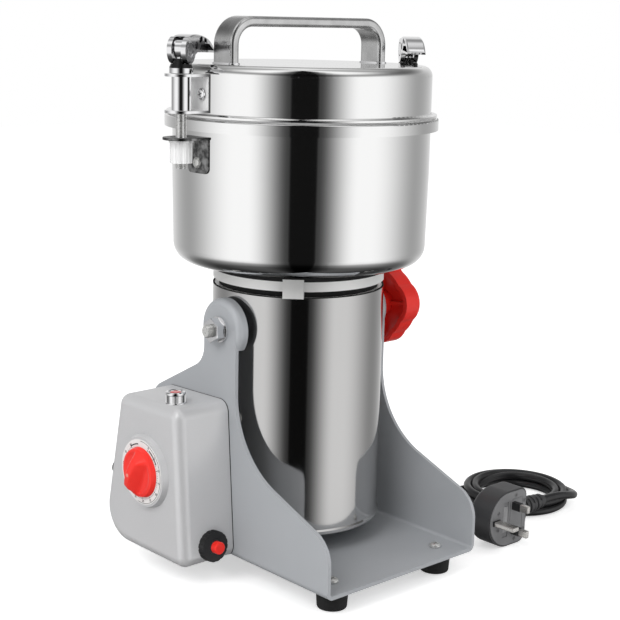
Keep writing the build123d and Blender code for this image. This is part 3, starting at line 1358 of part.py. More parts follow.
# One pan head screw through each lid bracket, and one rivet through each bowl bracket
INNER_NUT_RADIUS = 4.0
PAN_HEAD = (4.4, 2.6, 16.0)
RIVET_HEAD = (4.2, 2.0, 30.0)
with BuildPart() as lid_bracket_screws:
    for side in (-1, 1):
        with BuildSketch(sideways(side * BRACKET_OUTSIDE, SCREW_OFFSET, BRACKET_SCREW_Z)):
            Circle(PAN_HEAD[0])
        extrude(amount=side * PAN_HEAD[1], taper=PAN_HEAD[2])
        with BuildSketch(sideways(side * (BRACKET_OUTSIDE + 1), SCREW_OFFSET, BRACKET_SCREW_Z)):
            Circle(FIXING_RADIUS)
        extrude(amount=-side * 7)
        with BuildSketch(sideways(side * (BOWL_RADIUS - 2.2), SCREW_OFFSET, BRACKET_SCREW_Z)):
            Circle(INNER_NUT_RADIUS)
        extrude(amount=-side * 2)
finish(lid_bracket_screws, "lid_bracket_screws")

with BuildPart() as bracket_rivets:
    for side in (-1, 1):
        with BuildSketch(sideways(side * BRACKET_OUTSIDE, 0, RIVET_Z)):
            Circle(RIVET_HEAD[0])
        extrude(amount=side * RIVET_HEAD[1], taper=RIVET_HEAD[2])
        with BuildSketch(sideways(side * (BRACKET_OUTSIDE + 1), 0, RIVET_Z)):
            Circle(FIXING_RADIUS)
        extrude(amount=-side * 6)
        with BuildSketch(sideways(side * (BOWL_RADIUS - 1.6), 0, RIVET_Z)):
            Circle(INNER_NUT_RADIUS)
        extrude(amount=-side * 1.2)
finish(bracket_rivets, "bracket_rivets")
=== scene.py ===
from math import atan2, cos, pi, radians, sin

import bmesh
import bpy
from mathutils import Matrix, Vector


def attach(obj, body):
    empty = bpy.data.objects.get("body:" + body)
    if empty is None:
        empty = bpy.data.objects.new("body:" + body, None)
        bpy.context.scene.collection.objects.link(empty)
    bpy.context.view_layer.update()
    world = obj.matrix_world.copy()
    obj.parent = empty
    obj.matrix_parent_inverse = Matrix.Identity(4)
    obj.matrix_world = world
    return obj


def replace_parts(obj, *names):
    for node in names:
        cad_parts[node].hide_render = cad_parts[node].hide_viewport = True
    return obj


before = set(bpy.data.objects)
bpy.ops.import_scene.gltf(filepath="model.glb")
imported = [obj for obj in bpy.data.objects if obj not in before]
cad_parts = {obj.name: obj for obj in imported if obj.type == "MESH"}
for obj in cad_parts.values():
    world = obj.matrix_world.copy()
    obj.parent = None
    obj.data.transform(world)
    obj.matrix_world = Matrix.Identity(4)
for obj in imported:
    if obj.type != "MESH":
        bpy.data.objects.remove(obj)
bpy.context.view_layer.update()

# ---- Viewpoint ---------------------------------------------------------------------------------
# A long lens on a stand, a little above the lid, that looks over the near corner of the control box
# and leans by a degree. In metres.
EYE = Vector((-0.7428, -0.8293, 0.4463))
TURN = radians(42.36)
DIP = radians(11.91)
LEAN = radians(1.25)

ahead = Vector((sin(TURN) * cos(DIP), cos(TURN) * cos(DIP), -sin(DIP)))
level_right = Vector((cos(TURN), -sin(TURN), 0))
level_up = level_right.cross(ahead)
right = level_right * cos(LEAN) + level_up * sin(LEAN)
up = level_up * cos(LEAN) - level_right * sin(LEAN)
lens = bpy.data.cameras.new("viewpoint")
lens.lens = 80.69
lens.sensor_width = 36
camera = bpy.data.objects.new("viewpoint", lens)
camera.matrix_world = Matrix.Translation(EYE) @ Matrix((right, up, -ahead)).transposed().to_4x4()
bpy.context.scene.collection.objects.link(camera)
bpy.context.scene.camera = camera
bpy.context.scene.view_settings.view_transform = "Standard"


# ---- Studio ------------------------------------------------------------------------------------
# White paper under the mill, in a pale room with four soft lamps. Polished metal mirrors the room
# and not the lamps: a dark card before the lens, a wide soft light on each side of it, then walls.
class Link:
    """An output socket. Arithmetic on it adds the Math nodes that work the expression out."""

    def __init__(self, nodes, socket):
        self.nodes, self.socket = nodes, socket

    def math(self, operation, *values):
        return self.nodes.add("ShaderNodeMath", {"operation": operation}, dict(enumerate(values)))

    def __add__(self, other):
        return self.math("ADD", self, other)

    def __sub__(self, other):
        return self.math("SUBTRACT", self, other)

    def __rsub__(self, other):
        return self.math("SUBTRACT", other, self)

    def __mul__(self, other):
        return self.math("MULTIPLY", self, other)

    def __truediv__(self, other):
        return self.math("DIVIDE", self, other)

    def __pow__(self, other):
        return self.math("POWER", self, other)

    __radd__ = __add__
    __rmul__ = __mul__


class Nodes:
    """A node tree, with the one way in which nodes are added to it."""

    def __init__(self, tree):
        self.tree = tree

    def add(self, kind, settings=(), sockets=(), output=0):
        """Adds a node, its settings first, then the values or links of its sockets."""
        node = self.tree.nodes.new(kind)
        for name, value in dict(settings).items():
            if name == "stops":
                stops = node.color_ramp.elements
                stops.remove(stops[1])
                for position, shade in value:
                    stop = stops[0] if position == value[0][0] else stops.new(position)
                    stop.position = position
                    stop.color = (shade, shade, shade, 1)
            elif name == "between":
                node.color_ramp.interpolation = value
            else:
                setattr(node, name, value)
        self.feed(node, sockets)
        return Link(self, node.outputs[output])

    def feed(self, node, sockets):
        for name, value in dict(sockets).items():
            if isinstance(value, Link):
                self.tree.links.new(value.socket, node.inputs[name])
            else:
                node.inputs[name].default_value = value

    def axes(self, vector):
        """The three numbers of a vector."""
        split = self.add("ShaderNodeSeparateXYZ", (), {"Vector": vector}).socket.node
        return [Link(self, socket) for socket in split.outputs]


# how bright the mirrored room is, by degrees away from the card's middle: the card, the soft light
# beside it, the grey side walls, and a paler wall behind
ROOM_ROUND = [(0, 0.006), (11, 0.006), (12.5, 0.05), (50, 0.99), (62, 0.99), (120, 0.36), (180, 0.8)]
CARD_TURN = TURN - radians(3.0)
# the same from straight down, -1, to straight up, 1: a dark table below, and dark gaps between the
# overhead lights
ROOM_RISE = [
    (-1.0, 0.05), (-0.75, 0.1), (-0.55, 0.35), (-0.42, 0.85), (-0.33, 1.0), (0.3, 1.0), (0.42, 0.62),
    (0.52, 0.36), (0.62, 0.34), (0.72, 0.65), (0.82, 1.0), (1.0, 1.0),
]
# what lights the mill from below and from above, and how much of it the clamping knob's side loses
SOFT_LOW, SOFT_HIGH = 0.35, 0.88
SHADY = 0.5
# keeps a mirror ray that goes straight up from being divided by nothing
TINY = 1e-6

world = bpy.data.worlds.new("studio")
bpy.context.scene.world = world
world.use_nodes = True
room = Nodes(world.node_tree)
along_x, along_y, rise = room.axes(room.add("ShaderNodeTexCoord"))
level = (along_x * along_x + along_y * along_y + TINY) ** 0.5
card = (along_x * -sin(CARD_TURN) + along_y * -cos(CARD_TURN)) / level
around = room.add(
    "ShaderNodeValToRGB",
    {"stops": [(angle / 180, shade) for angle, shade in ROOM_ROUND], "between": "EASE"},
    {"Fac": card.math("ARCCOSINE", card) / pi},
)
above = room.add(
    "ShaderNodeValToRGB",
    {"stops": [((height + 1) / 2, shade) for height, shade in ROOM_RISE]},
    {"Fac": rise * 0.5 + 0.5},
)
soft = SOFT_LOW + (SOFT_HIGH - SOFT_LOW) * (rise * 0.5 + 0.5)
soft = soft * (1 - SHADY * (along_x * 0.5 + 0.5))
to_camera = room.add("ShaderNodeLightPath", output="Is Camera Ray")
to_mirror = room.add("ShaderNodeLightPath", output="Is Glossy Ray")
strength = room.add("ShaderNodeMix", {"data_type": "FLOAT"}, {0: to_mirror, 2: soft, 3: around * above})
strength = room.add("ShaderNodeMix", {"data_type": "FLOAT"}, {0: to_camera, 2: strength, 3: 1.0})
room.feed(world.node_tree.nodes["Background"], {"Color": (1, 1, 1, 1), "Strength": strength})


MIDDLE = Vector((0.0, 0.0, 0.2))


def lamp(name, place, side, watts):
    """A square soft light that looks at the mill's middle and isn't mirrored."""
    light = bpy.data.lights.new(name, "AREA")
    light.size, light.energy = side, watts
    holder = bpy.data.objects.new(name, light)
    holder.location = place
    holder.rotation_euler = (MIDDLE - Vector(place)).to_track_quat("-Z", "Y").to_euler()
    holder.visible_glossy = False
    bpy.context.scene.collection.objects.link(holder)
    return holder


lamp("key_light", (-1.7, -0.4, 1.7), 1.1, 20)
lamp("fill_light", (-0.2, -1.9, 1.6), 1.0, 8)
lamp("side_light", (1.8, -0.7, 0.7), 0.8, 9)
lamp("back_light", (-0.3, 1.6, 1.8), 1.2, 8)


class Finish(Nodes):
    """A material: constants sit on the shader's own sockets, and what varies is linked to them."""

    def __init__(self, name, colour, roughness, **sockets):
        self.material = bpy.data.materials.new(name)
        self.material.use_nodes = True
        super().__init__(self.material.node_tree)
        self.shader = self.tree.nodes["Principled BSDF"]
        self.vary(Base_Color=(*colour, 1), Roughness=roughness, **sockets)

    def vary(self, **sockets):
        """Sets the shader's own sockets, or links what changes over the surface to them."""
        self.feed(self.shader, {name.replace("_", " "): value for name, value in sockets.items()})

    def clouded(self, share, dark, pale, smooth, rougher):
        """Lets the colour and the roughness vary together with a share."""
        self.vary(Base_Color=self.mix(share, dark, pale), Roughness=smooth + share * rougher)

    def place(self):
        return self.add("ShaderNodeTexCoord", output="Object")

    def noise(self, scale, detail=2.0, stretch=(1, 1, 1)):
        """Cloudy variation about 0.5, its grains 1 / scale metres across."""
        factors = {0: self.place(), 1: stretch}
        where = self.add("ShaderNodeVectorMath", {"operation": "MULTIPLY"}, factors)
        sockets = {"Vector": where, "Scale": scale, "Detail": detail}
        return self.add("ShaderNodeTexNoise", (), sockets)

    def lines(self, along, scale, detail=2.0):
        """Fine streaks that change only with one number."""
        sockets = {"W": along, "Scale": scale, "Detail": detail}
        return self.add("ShaderNodeTexNoise", {"noise_dimensions": "1D"}, sockets)

    def mix(self, share, first, second):
        """Two colours mixed by a share."""
        first, second = ((*c, 1) if isinstance(c, tuple) else c for c in (first, second))
        return self.add("ShaderNodeMix", {"data_type": "RGBA"}, {0: share, 6: first, 7: second}, 2)

    def step(self, value, low, high):
        """0 below low, 1 above high, smooth between them."""
        sockets = {"Value": value, "From Min": low, "From Max": high}
        return self.add("ShaderNodeMapRange", {"interpolation_type": "SMOOTHSTEP"}, sockets)

    def relief(self, height, depth):
        """Raises the surface by height times depth, in metres."""
        bump = self.add("ShaderNodeBump", (), {"Height": height, "Distance": depth, "Strength": 1.0})
        self.vary(Normal=bump)


# the paper floor: polished metal doesn't mirror it, and the lens sees it lighter than it lights the
# mill; it lies just clear of the feet
PAPER_SIZE = 8.0
PAPER_GLOW = 0.5
PAPER_DROP = 0.0004
paper = Finish("paper", (0.86, 0.86, 0.86), 0.9, Specular_IOR_Level=0.0)
paper.vary(Base_Color=paper.mix(paper.noise(30), (0.85, 0.85, 0.85), (0.87, 0.87, 0.87)))
seen = paper.add("ShaderNodeLightPath", output="Is Camera Ray")
paper.vary(Emission_Color=paper.mix(seen, (0, 0, 0), (PAPER_GLOW,) * 3), Emission_Strength=1.0)
clear = paper.add("ShaderNodeBsdfTransparent")
opaque = Link(paper, paper.shader.outputs[0])
mirror_ray = paper.add("ShaderNodeLightPath", output="Is Glossy Ray")
both = paper.add("ShaderNodeMixShader", (), {0: mirror_ray, 1: opaque, 2: clear})
paper.feed(paper.tree.nodes["Material Output"], {"Surface": both})
sheet = bmesh.new()
bmesh.ops.create_grid(sheet, x_segments=1, y_segments=1, size=PAPER_SIZE / 2)
mesh = bpy.data.meshes.new("paper_floor")
sheet.to_mesh(mesh)
sheet.free()
floor = bpy.data.objects.new("paper_floor", mesh)
floor.location.z = -PAPER_DROP
mesh.materials.append(paper.material)
bpy.context.scene.collection.objects.link(floor)


# ---- Plug --------------------------------------------------------------------------------------
# A moulded three pin plug in dark grey plastic: a lighter face plate with the fuse in its carrier,
# nickel plated pins, the two live ones sleeved, and a ribbed sleeve where the lead comes in.
MM = 0.001
# the motor's upright axis; every place below is measured from its foot, in millimetres
AXIS = Vector((9.6, 10.8, 0))
SHARP = radians(32)


def seat(place, across, upward):
    """The frame of a detail, in millimetres: x across it, y up it and z out of it."""
    across, upward = Vector(across).normalized(), Vector(upward).normalized()
    turn = Matrix((across, upward, across.cross(upward))).transposed().to_4x4()
    return Matrix.Translation((Vector(place) + AXIS) * MM) @ turn @ Matrix.Scale(MM, 4)


def arc(middle, radius, start, stop, steps):
    """Points on an arc in a seat's own x and y, from one angle to another in degrees."""
    angles = [radians(start + (stop - start) * number / steps) for number in range(steps + 1)]
    return [(middle[0] + radius * cos(angle), middle[1] + radius * sin(angle)) for angle in angles]


def box_outline(left, low, right_end, high):
    """A rectangle's corners, from its least and its greatest x and y, or radius and height."""
    return [(left, low), (right_end, low), (right_end, high), (left, high)]


def slab(shape, at, outline, low, high, edge=0.0):
    """Adds a flat solid over an outline, between two heights, with its upper edge rounded."""
    foot, head = (
        [shape.verts.new(at @ Vector((*point, height))) for point in outline] for height in (low, high)
    )
    shape.faces.new(foot[::-1])
    crown = shape.faces.new(head)
    for number in range(len(outline)):
        after = (number + 1) % len(outline)
        shape.faces.new((foot[number], foot[after], head[after], head[number]))
    if edge:
        bmesh.ops.bevel(
            shape, geom=list(crown.edges), offset=edge * MM, segments=3, profile=0.5, affect="EDGES"
        )


def turned(shape, at, profile, steps, start=0.0, sweep=360.0):
    """Adds a solid turned about the seat's z, from a closed outline of (radius, height) points."""
    count = steps if sweep == 360.0 else steps + 1
    rings = []
    for number in range(count):
        angle = radians(start + sweep * number / steps)
        across, upward = cos(angle), sin(angle)
        rings.append([
            shape.verts.new(at @ Vector((radius * across, radius * upward, height)))
            for radius, height in profile
        ])
    for number in range(steps):
        one, two = rings[number], rings[(number + 1) % count]
        for place in range(len(profile)):
            after = (place + 1) % len(profile)
            shape.faces.new((one[place], two[place], two[after], one[after]))
    if sweep != 360.0:
        shape.faces.new(rings[0])
        shape.faces.new(rings[-1][::-1])
    bmesh.ops.remove_doubles(shape, verts=shape.verts, dist=1e-7)


def carved(solid, cutter, keep="DIFFERENCE"):
    """What is left of one solid when another is cut out of it, or with INTERSECT what they share."""
    holders = []
    for part in (solid, cutter):
        bmesh.ops.recalc_face_normals(part, faces=part.faces)
        part_mesh = bpy.data.meshes.new("carving")
        part.to_mesh(part_mesh)
        part.free()
        holders.append(bpy.data.objects.new("carving", part_mesh))
        bpy.context.scene.collection.objects.link(holders[-1])
    cut = holders[0].modifiers.new("cut", "BOOLEAN")
    cut.object = holders[1]
    cut.solver = "EXACT"
    cut.operation = keep
    rest = bmesh.new()
    rest.from_object(holders[0], bpy.context.evaluated_depsgraph_get())
    for holder in holders:
        bpy.data.objects.remove(holder)
    return rest


def piece(name, shape, finish, body, edge=0.0):
    """Makes a finished mesh into an object that rides on a body; edge rounds its sharp edges."""
    bmesh.ops.recalc_face_normals(shape, faces=shape.faces)
    made_mesh = bpy.data.meshes.new(name)
    shape.to_mesh(made_mesh)
    shape.free()
    made_mesh.shade_smooth()
    made_mesh.materials.append(finish.material)
    made = bpy.data.objects.new(name, made_mesh)
    bpy.context.scene.collection.objects.link(made)
    if edge:
        rounding = made.modifiers.new("rounded edges", "BEVEL")
        rounding.width = edge * MM
        rounding.segments = 2
        rounding.limit_method = "ANGLE"
        rounding.angle_limit = SHARP
        evening = made.modifiers.new("flat faces stay flat", "WEIGHTED_NORMAL")
        evening.mode = "FACE_AREA"
        evening.weight = 50
    else:
        made_mesh.set_sharp_from_angle(angle=SHARP)
    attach(made, body)
    return made


def softened(node, finish, body, edge):
    """A copy of a carried-over node with its sharp edges rounded, in the node's place."""
    shape = bmesh.new()
    shape.from_mesh(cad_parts[node].data)
    bmesh.ops.remove_doubles(shape, verts=shape.verts, dist=1e-6)
    bmesh.ops.dissolve_limit(shape, angle_limit=radians(0.6), verts=shape.verts, edges=shape.edges)
    made = piece(f"{node}_softened", shape, finish, body, edge)
    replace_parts(made, node)
    return made


def paint(finish, *nodes):
    """Gives carried-over nodes their finish."""
    for node in nodes:
        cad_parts[node].data.materials[0] = finish.material


PLUG = Vector((145.5, -115.2, 25))
PLUG_SIDE, PLUG_CORNER, PLUG_DEEP = 24.0, 9.0, 24.0
plug_face = seat(PLUG, (1, 0, 0), (0, 0, 1))
plug_plastic = Finish("plug_plastic", (0.04, 0.04, 0.042), 0.42)
cloud = plug_plastic.noise(60)
plug_plastic.relief(plug_plastic.noise(2600), 0.00003)
plug_plastic.clouded(cloud, (0.034, 0.034, 0.036), (0.048, 0.048, 0.05), 0.36, 0.12)
softened("plug_body", plug_plastic, "base", 0.5)

plate_plastic = Finish("plate_plastic", (0.2, 0.2, 0.205), 0.5)
cloud = plate_plastic.noise(80)
plate_plastic.relief(plate_plastic.noise(3000), 0.00003)
plate_plastic.clouded(cloud, (0.185, 0.185, 0.19), (0.215, 0.215, 0.22), 0.42, 0.14)
# the plate stands this far in from the plug's outline, and this far out of its face
PLATE_EDGE, PLATE_PROUD = 1.5, 0.9
FUSE = (-7.4, -15.7, -0.5, 15.7)
# the small round marks on the plate, each a dimple in a ring
PLATE_MARKS = ((-13.4, 7.4), (-13.4, -7.4), (8.6, 19.6), (8.6, -19.6), (20.4, 13.0), (20.4, -13.0))
corner_at = PLUG_SIDE - PLUG_CORNER
outline = arc((0, 0), PLUG.z - PLATE_EDGE, 90, 270, 24)
outline += arc((corner_at, -PLUG.z + PLUG_CORNER), PLUG_CORNER - PLATE_EDGE, -90, 0, 6)
outline += arc((corner_at, PLUG.z - PLUG_CORNER), PLUG_CORNER - PLATE_EDGE, 0, 90, 6)
plate = bmesh.new()
slab(plate, plug_face, outline, -0.2, PLATE_PROUD, 0.3)
openings = bmesh.new()
slab(openings, plug_face, box_outline(*FUSE), 0.05, 2)
slab(openings, plug_face, box_outline(1.4, -15.4, 2.1, 15.4), 0.4, 2)
for low in (-16.9, 16.5):
    slab(openings, plug_face, box_outline(3.0, low, 17.4, low + 0.4), 0.5, 2)
slab(openings, plug_face, box_outline(17.6, -16.4, 18.0, 16.4), 0.5, 2)
for across, upward in PLATE_MARKS:
    mark = seat(PLUG + Vector((across, 0, upward)), (1, 0, 0), (0, 0, 1))
    turned(openings, mark, box_outline(0, 0.3, 0.9, 2), 20)
    turned(openings, mark, box_outline(1.3, 0.3, 1.75, 2), 24)
piece("plug_plate", carved(plate, openings), plate_plastic, "base")

carrier_plastic = Finish("carrier_plastic", (0.3, 0.3, 0.305), 0.5)
carrier_plastic.vary(Roughness=0.44 + carrier_plastic.noise(300) * 0.14)
carrier = bmesh.new()
slab(carrier, plug_face, box_outline(-6.9, -11.4, -1.0, 11.4), 0, 0.75, 0.2)
for low in (-8.0, -2.4, 3.2):
    slab(carrier, plug_face, box_outline(-5.4, low, -2.5, low + 4.6), 0.6, 0.95, 0.15)
piece("fuse_carrier", carrier, carrier_plastic, "base")

nickel = Finish("nickel", (0.78, 0.76, 0.73), 0.25, Metallic=1.0)
nickel.vary(Roughness=0.2 + nickel.noise(900, stretch=(1, 0.1, 1)) * 0.18)
softened("plug_pins", nickel, "base", 0.7)

sleeve_plastic = Finish("sleeve_plastic", (0.012, 0.012, 0.013), 0.35)
sleeve_plastic.vary(Roughness=0.3 + sleeve_plastic.noise(500) * 0.12)
# where the live pins stand on the face, to each side of its middle line, and the earth pin on it
LIVE = (6.0, 11.1)
EARTH = -16.2
pin_sleeves = bmesh.new()
for spread in (-LIVE[1], LIVE[1]):
    slab(
        pin_sleeves, plug_face,
        box_outline(LIVE[0] - 2.2, spread - 3.4, LIVE[0] + 2.2, spread + 3.4), 0, 9.6, 0.3,
    )
slab(pin_sleeves, plug_face, box_outline(EARTH - 4.3, -2.3, EARTH + 4.3, 2.3), 0, 2.6, 0.4)
piece("pin_sleeves", pin_sleeves, sleeve_plastic, "base")

# the ribs of the strain relief, each joined to the next by two ties
SLEEVE_LONG, SLEEVE_ROOT, SLEEVE_TIP = 38.0, 8.5, 4.8
RIBS, RIB_LONG, RIB_STEP, RIB_PROUD = 6, 3.4, 5.6, 1.1
TIE_SWEEP = 52
sleeve_seat = seat(PLUG + Vector((PLUG_SIDE, PLUG_DEEP / 2, 0)), (0, 1, 0), (0, 0, 1))
ribs = bmesh.new()
for number in range(RIBS):
    start = 3.0 + number * RIB_STEP
    root = SLEEVE_ROOT - (SLEEVE_ROOT - SLEEVE_TIP) * start / SLEEVE_LONG
    end, outside = start + RIB_LONG, root + RIB_PROUD
    bevelled = [(root - 1, start), (outside - 0.4, start), (outside, start + 0.4)]
    bevelled += [(outside - 0.1, end - 0.4), (outside - 0.5, end), (root - 1, end)]
    turned(ribs, sleeve_seat, bevelled, 40)
    if number < RIBS - 1:
        tie = [(root - 1, end - 0.5), (outside - 0.6, end - 0.5)]
        tie += [(outside - 0.8, end + 2.8), (root - 1, end + 2.8)]
        for side in (0, 180):
            tie_start = side + number % 2 * 90 - TIE_SWEEP / 2
            turned(ribs, sleeve_seat, tie, 8, tie_start, TIE_SWEEP)
piece("strain_relief_ribs", ribs, plug_plastic, "base")

# ---- Lead --------------------------------------------------------------------------------------
# Round three core mains lead in black PVC. It leaves the gland behind the control box, runs on the
# floor round the back, is wound two turns wide and two high, and ends in the plug.
LEAD_DIAMETER = 7.5
LAY = LEAD_DIAMETER / 2
COIL = Vector((245, -42, 0))
COIL_MIDDLE = 41.5
LEAD_RUN = [
    (-78.77, 100.24, 54.73), (-56.84, 100.24, 44.97), (-33, 106, 31), (-9, 116, 17.5), (20, 130, 8),
    (53, 138, LAY), (86, 130, LAY), (117, 107, LAY), (138, 76, LAY), (156, 44, LAY), (180, 17, LAY),
    (211, 0, LAY),
]
TAIL_RUN = [
    (286.5, -66, 8.2), (273.6, -90.2, 12), (251.1, -103.2, 20.1), (225.5, -103.2, 25),
    (207.5, -103.2, 25),
]
POINTS_A_TURN = 16
TURNS = 4.25
# a wound strand keeps a touch more than its own diameter from the next one
PITCH = LEAD_DIAMETER + 0.1
INNER, OUTER = COIL_MIDDLE - PITCH / 2, COIL_MIDDLE + PITCH / 2
LAYERS = [(OUTER, LAY), (INNER, LAY), (INNER, LAY + PITCH), (OUTER, LAY + PITCH)]
# each turn stays in its place for this share, then steps over to the next one
STAY, STEP_OVER = 0.8, 0.2
# control points stand this much outside the curve that they draw
STAND_OUT = 1 / (0.75 + 0.25 * cos(2 * pi / POINTS_A_TURN))

wound = []
for number in range(1, int(POINTS_A_TURN * TURNS)):
    turn = number / POINTS_A_TURN
    layer = min(turn - 0.1, len(LAYERS) - 1.001)
    before = LAYERS[max(int(layer), 0)]
    after = LAYERS[max(int(layer), 0) + 1] if layer > 0 else before
    share = min(max((layer % 1 - STAY) / STEP_OVER, 0), 1) if layer > 0 else 0
    radius, height = (one + (two - one) * share for one, two in zip(before, after))
    angle = pi / 2 - 2 * pi * turn
    outward = Vector((cos(angle), sin(angle), 0)) * radius * STAND_OUT
    wound.append(COIL + outward + Vector((0, 0, height)))
line = bpy.data.curves.new("mains_lead", "CURVE")
line.dimensions = "3D"
route = [*LEAD_RUN, *wound, *TAIL_RUN]
spline = line.splines.new("NURBS")
spline.points.add(len(route) - 1)
for point, place in zip(spline.points, route):
    point.co = (*((Vector(place) + AXIS) * MM), 1)
spline.order_u = 3
spline.use_endpoint_u = True
spline.resolution_u = 8
line.bevel_depth = LAY * MM
line.bevel_resolution = 6
mains_lead = bpy.data.objects.new("mains_lead", line)
bpy.context.scene.collection.objects.link(mains_lead)

lead_pvc = Finish("lead_pvc", (0.012, 0.012, 0.013), 0.3)
streak = lead_pvc.noise(180, detail=3)
lead_pvc.relief(lead_pvc.noise(700, detail=1), 0.00005)
lead_pvc.clouded(streak, (0.01, 0.01, 0.011), (0.02, 0.02, 0.021), 0.24, 0.14)
line.materials.append(lead_pvc.material)
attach(mains_lead, "base")
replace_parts(mains_lead, "power_cord", "cord_coil", "cord_tail")

# ---- Frame -------------------------------------------------------------------------------------
# One folded sheet of steel, deburred and sprayed silver grey with a fine metallic grain. Rubber
# feet are screwed under it with plated pan head screws.
frame_paint = Finish("frame_paint", (0.42, 0.435, 0.455), 0.4, Metallic=0.2)
grain = frame_paint.noise(2400, detail=1)
cloud = frame_paint.noise(14, detail=4)
frame_paint.vary(
    Base_Color=frame_paint.mix(grain * 0.6 + cloud * 0.4, (0.38, 0.395, 0.415), (0.46, 0.475, 0.495)),
    Roughness=0.36 + frame_paint.noise(90) * 0.12,
)
frame_paint.relief(frame_paint.noise(1100, detail=2), 0.00004)
softened("u_frame", frame_paint, "base", 0.6)

rubber = Finish("rubber", (0.012, 0.012, 0.012), 0.72)
rubber.vary(Roughness=0.62 + rubber.noise(300) * 0.2)
rubber.relief(rubber.noise(1500), 0.00006)
softened("rubber_feet", rubber, "base", 1.2)

zinc = Finish("zinc", (0.72, 0.72, 0.7), 0.3, Metallic=0.7)
speck = zinc.noise(700, detail=3)
zinc.clouded(speck, (0.66, 0.66, 0.64), (0.82, 0.82, 0.8), 0.2, 0.2)


def cross(reach, half):
    """The outline of a screw's cross recess."""
    quarter = [(half, -reach), (half, -half), (reach, -half)]
    turns = [[(x, y), (-y, x), (-x, -y), (y, -x)] for x, y in quarter]
    return [turns[point][step] for step in range(4) for point in (0, 1, 2)]


def pan_screw(shape, shade_slabs, at, head, tall, shank, depth):
    """Adds a pan head screw on the seat, and a black slab of painted shade in its cross recess."""
    solid = bmesh.new()
    dome = [(0, 0), (head * 0.84, 0), (head * 0.84, tall * 0.14), (head, tall * 0.2)]
    dome += [(head, tall * 0.42), (head * 0.93, tall * 0.7), (head * 0.74, tall * 0.92)]
    dome += [(head * 0.5, tall), (0, tall)]
    turned(solid, at, dome, 32)
    outline = cross(head * 0.56, head * 0.11)
    recess = bmesh.new()
    slab(recess, at, outline, tall * 0.4, tall * 1.6)
    # a near black slab just above the recess's floor, painted shade
    slab(shade_slabs, at, outline, tall * 0.3, tall * 0.5)
    screw_mesh = bpy.data.meshes.new("screw")
    whole = carved(solid, recess)
    stem = [(0, -depth), (shank - 0.6, -depth), (shank, 0.6 - depth), (shank, 0.2), (0, 0.2)]
    turned(whole, at, stem, 24)
    whole.to_mesh(screw_mesh)
    whole.free()
    shape.from_mesh(screw_mesh)


# where the screws stand: on the plate as x and y, and on the left cheek as y and z
FOOT_SCREWS = [(-58, -111), (58, -111), (-58, 70), (58, 70)]
BOX_SCREWS = [(-3, 127), (56, 125), (-3, 54), (66, 42)]
PLATE_TOP, CHEEK_INSIDE = 20.0, -79.5
# the head's radius and height, the shank's radius and its length
FRAME_SCREW = (4.75, 3.2, 2.5, 14.0)
screws = bmesh.new()
screw_shade_slabs = bmesh.new()
for x, y in FOOT_SCREWS:
    screw_seat = seat((x, y, PLATE_TOP), (1, 0.4, 0), (-0.4, 1, 0))
    pan_screw(screws, screw_shade_slabs, screw_seat, *FRAME_SCREW)
for y, z in BOX_SCREWS:
    screw_seat = seat((CHEEK_INSIDE, y, z), (0, 1, 0.3), (0, -0.3, 1))
    pan_screw(screws, screw_shade_slabs, screw_seat, *FRAME_SCREW)
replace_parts(piece("frame_screws_crossed", screws, zinc, "base"), "frame_screws")
# near black slabs in the screws' cross recesses, painted shade
grime = Finish("grime", (0.02, 0.02, 0.02), 0.7)
grime.vary(Roughness=0.6 + grime.noise(900) * 0.2)
piece("frame_screw_recesses", screw_shade_slabs, grime, "base")

black_plastic = Finish("black_plastic", (0.008, 0.008, 0.009), 0.35)
cloud = black_plastic.noise(200)
black_plastic.clouded(cloud, (0.006, 0.006, 0.007), (0.011, 0.011, 0.012), 0.28, 0.14)
black_plastic.relief(black_plastic.noise(1800), 0.00002)
paint(black_plastic, "pivot_bushes")

# ---- Control box -------------------------------------------------------------------------------
# A cast cover sprayed light silver and screwed on through the left cheek, with a raised seat for the
# dial, a thin black gasket against the cheek, and the cord gland in its rear wall.
box_paint = Finish("box_paint", (0.55, 0.55, 0.56), 0.36, Metallic=0.35)
grain = box_paint.noise(2200, detail=1)
cloud = box_paint.noise(11, detail=3)
box_paint.vary(
    Base_Color=box_paint.mix(grain * 0.6 + cloud * 0.4, (0.57, 0.57, 0.578), (0.67, 0.67, 0.68)),
    Roughness=0.3 + box_paint.noise(70) * 0.12,
)
box_paint.relief(box_paint.noise(900, detail=2), 0.00004)
paint(box_paint, "control_box")
paint(black_plastic, "cord_gland", "timer_body")


def rounded(corners, grow):
    """An outline of rounded corners, given as (x, y, radius) anticlockwise, grown all round."""
    points = []
    for number, (x, y, radius) in enumerate(corners):
        before = (Vector(corners[number - 1][:2]) - Vector((x, y))).normalized()
        after = (Vector(corners[(number + 1) % len(corners)][:2]) - Vector((x, y))).normalized()
        halved = (before + after).normalized()
        middle = Vector((x, y)) + halved * radius / abs(halved.cross(after))
        start = Vector((before.y, -before.x)) * -1
        stop = Vector((after.y, -after.x))
        first = atan2(start.y, start.x)
        turn = (atan2(stop.y, stop.x) - first) % (2 * pi)
        reach = radius + grow
        for share in (step / 8 for step in range(9)):
            angle = first + turn * share
            points.append((middle.x + reach * cos(angle), middle.y + reach * sin(angle)))
    return points


# seen from inside the frame: x towards +Y, y up
BOX_CORNERS = [(94.2, 18, 28), (68, 144.5, 9.5), (-11.5, 147, 9.5), (-21, 18, 9.5)]
# the gasket fills the gap between the box's mouth and the cheek
BOX_MOUTH = -83.3
GASKET_THICK, GASKET_PROUD, GASKET_INSIDE = 0.8, 0.12, -1.2
gasket = bmesh.new()
gasket_seat = seat((BOX_MOUTH, 0, 0), (0, 1, 0), (0, 0, 1))
slab(gasket, gasket_seat, rounded(BOX_CORNERS, GASKET_PROUD), 0, GASKET_THICK)
inside = bmesh.new()
slab(inside, gasket_seat, rounded(BOX_CORNERS, GASKET_INSIDE), -1, 2)
piece("box_gasket", carved(gasket, inside), black_plastic, "base")

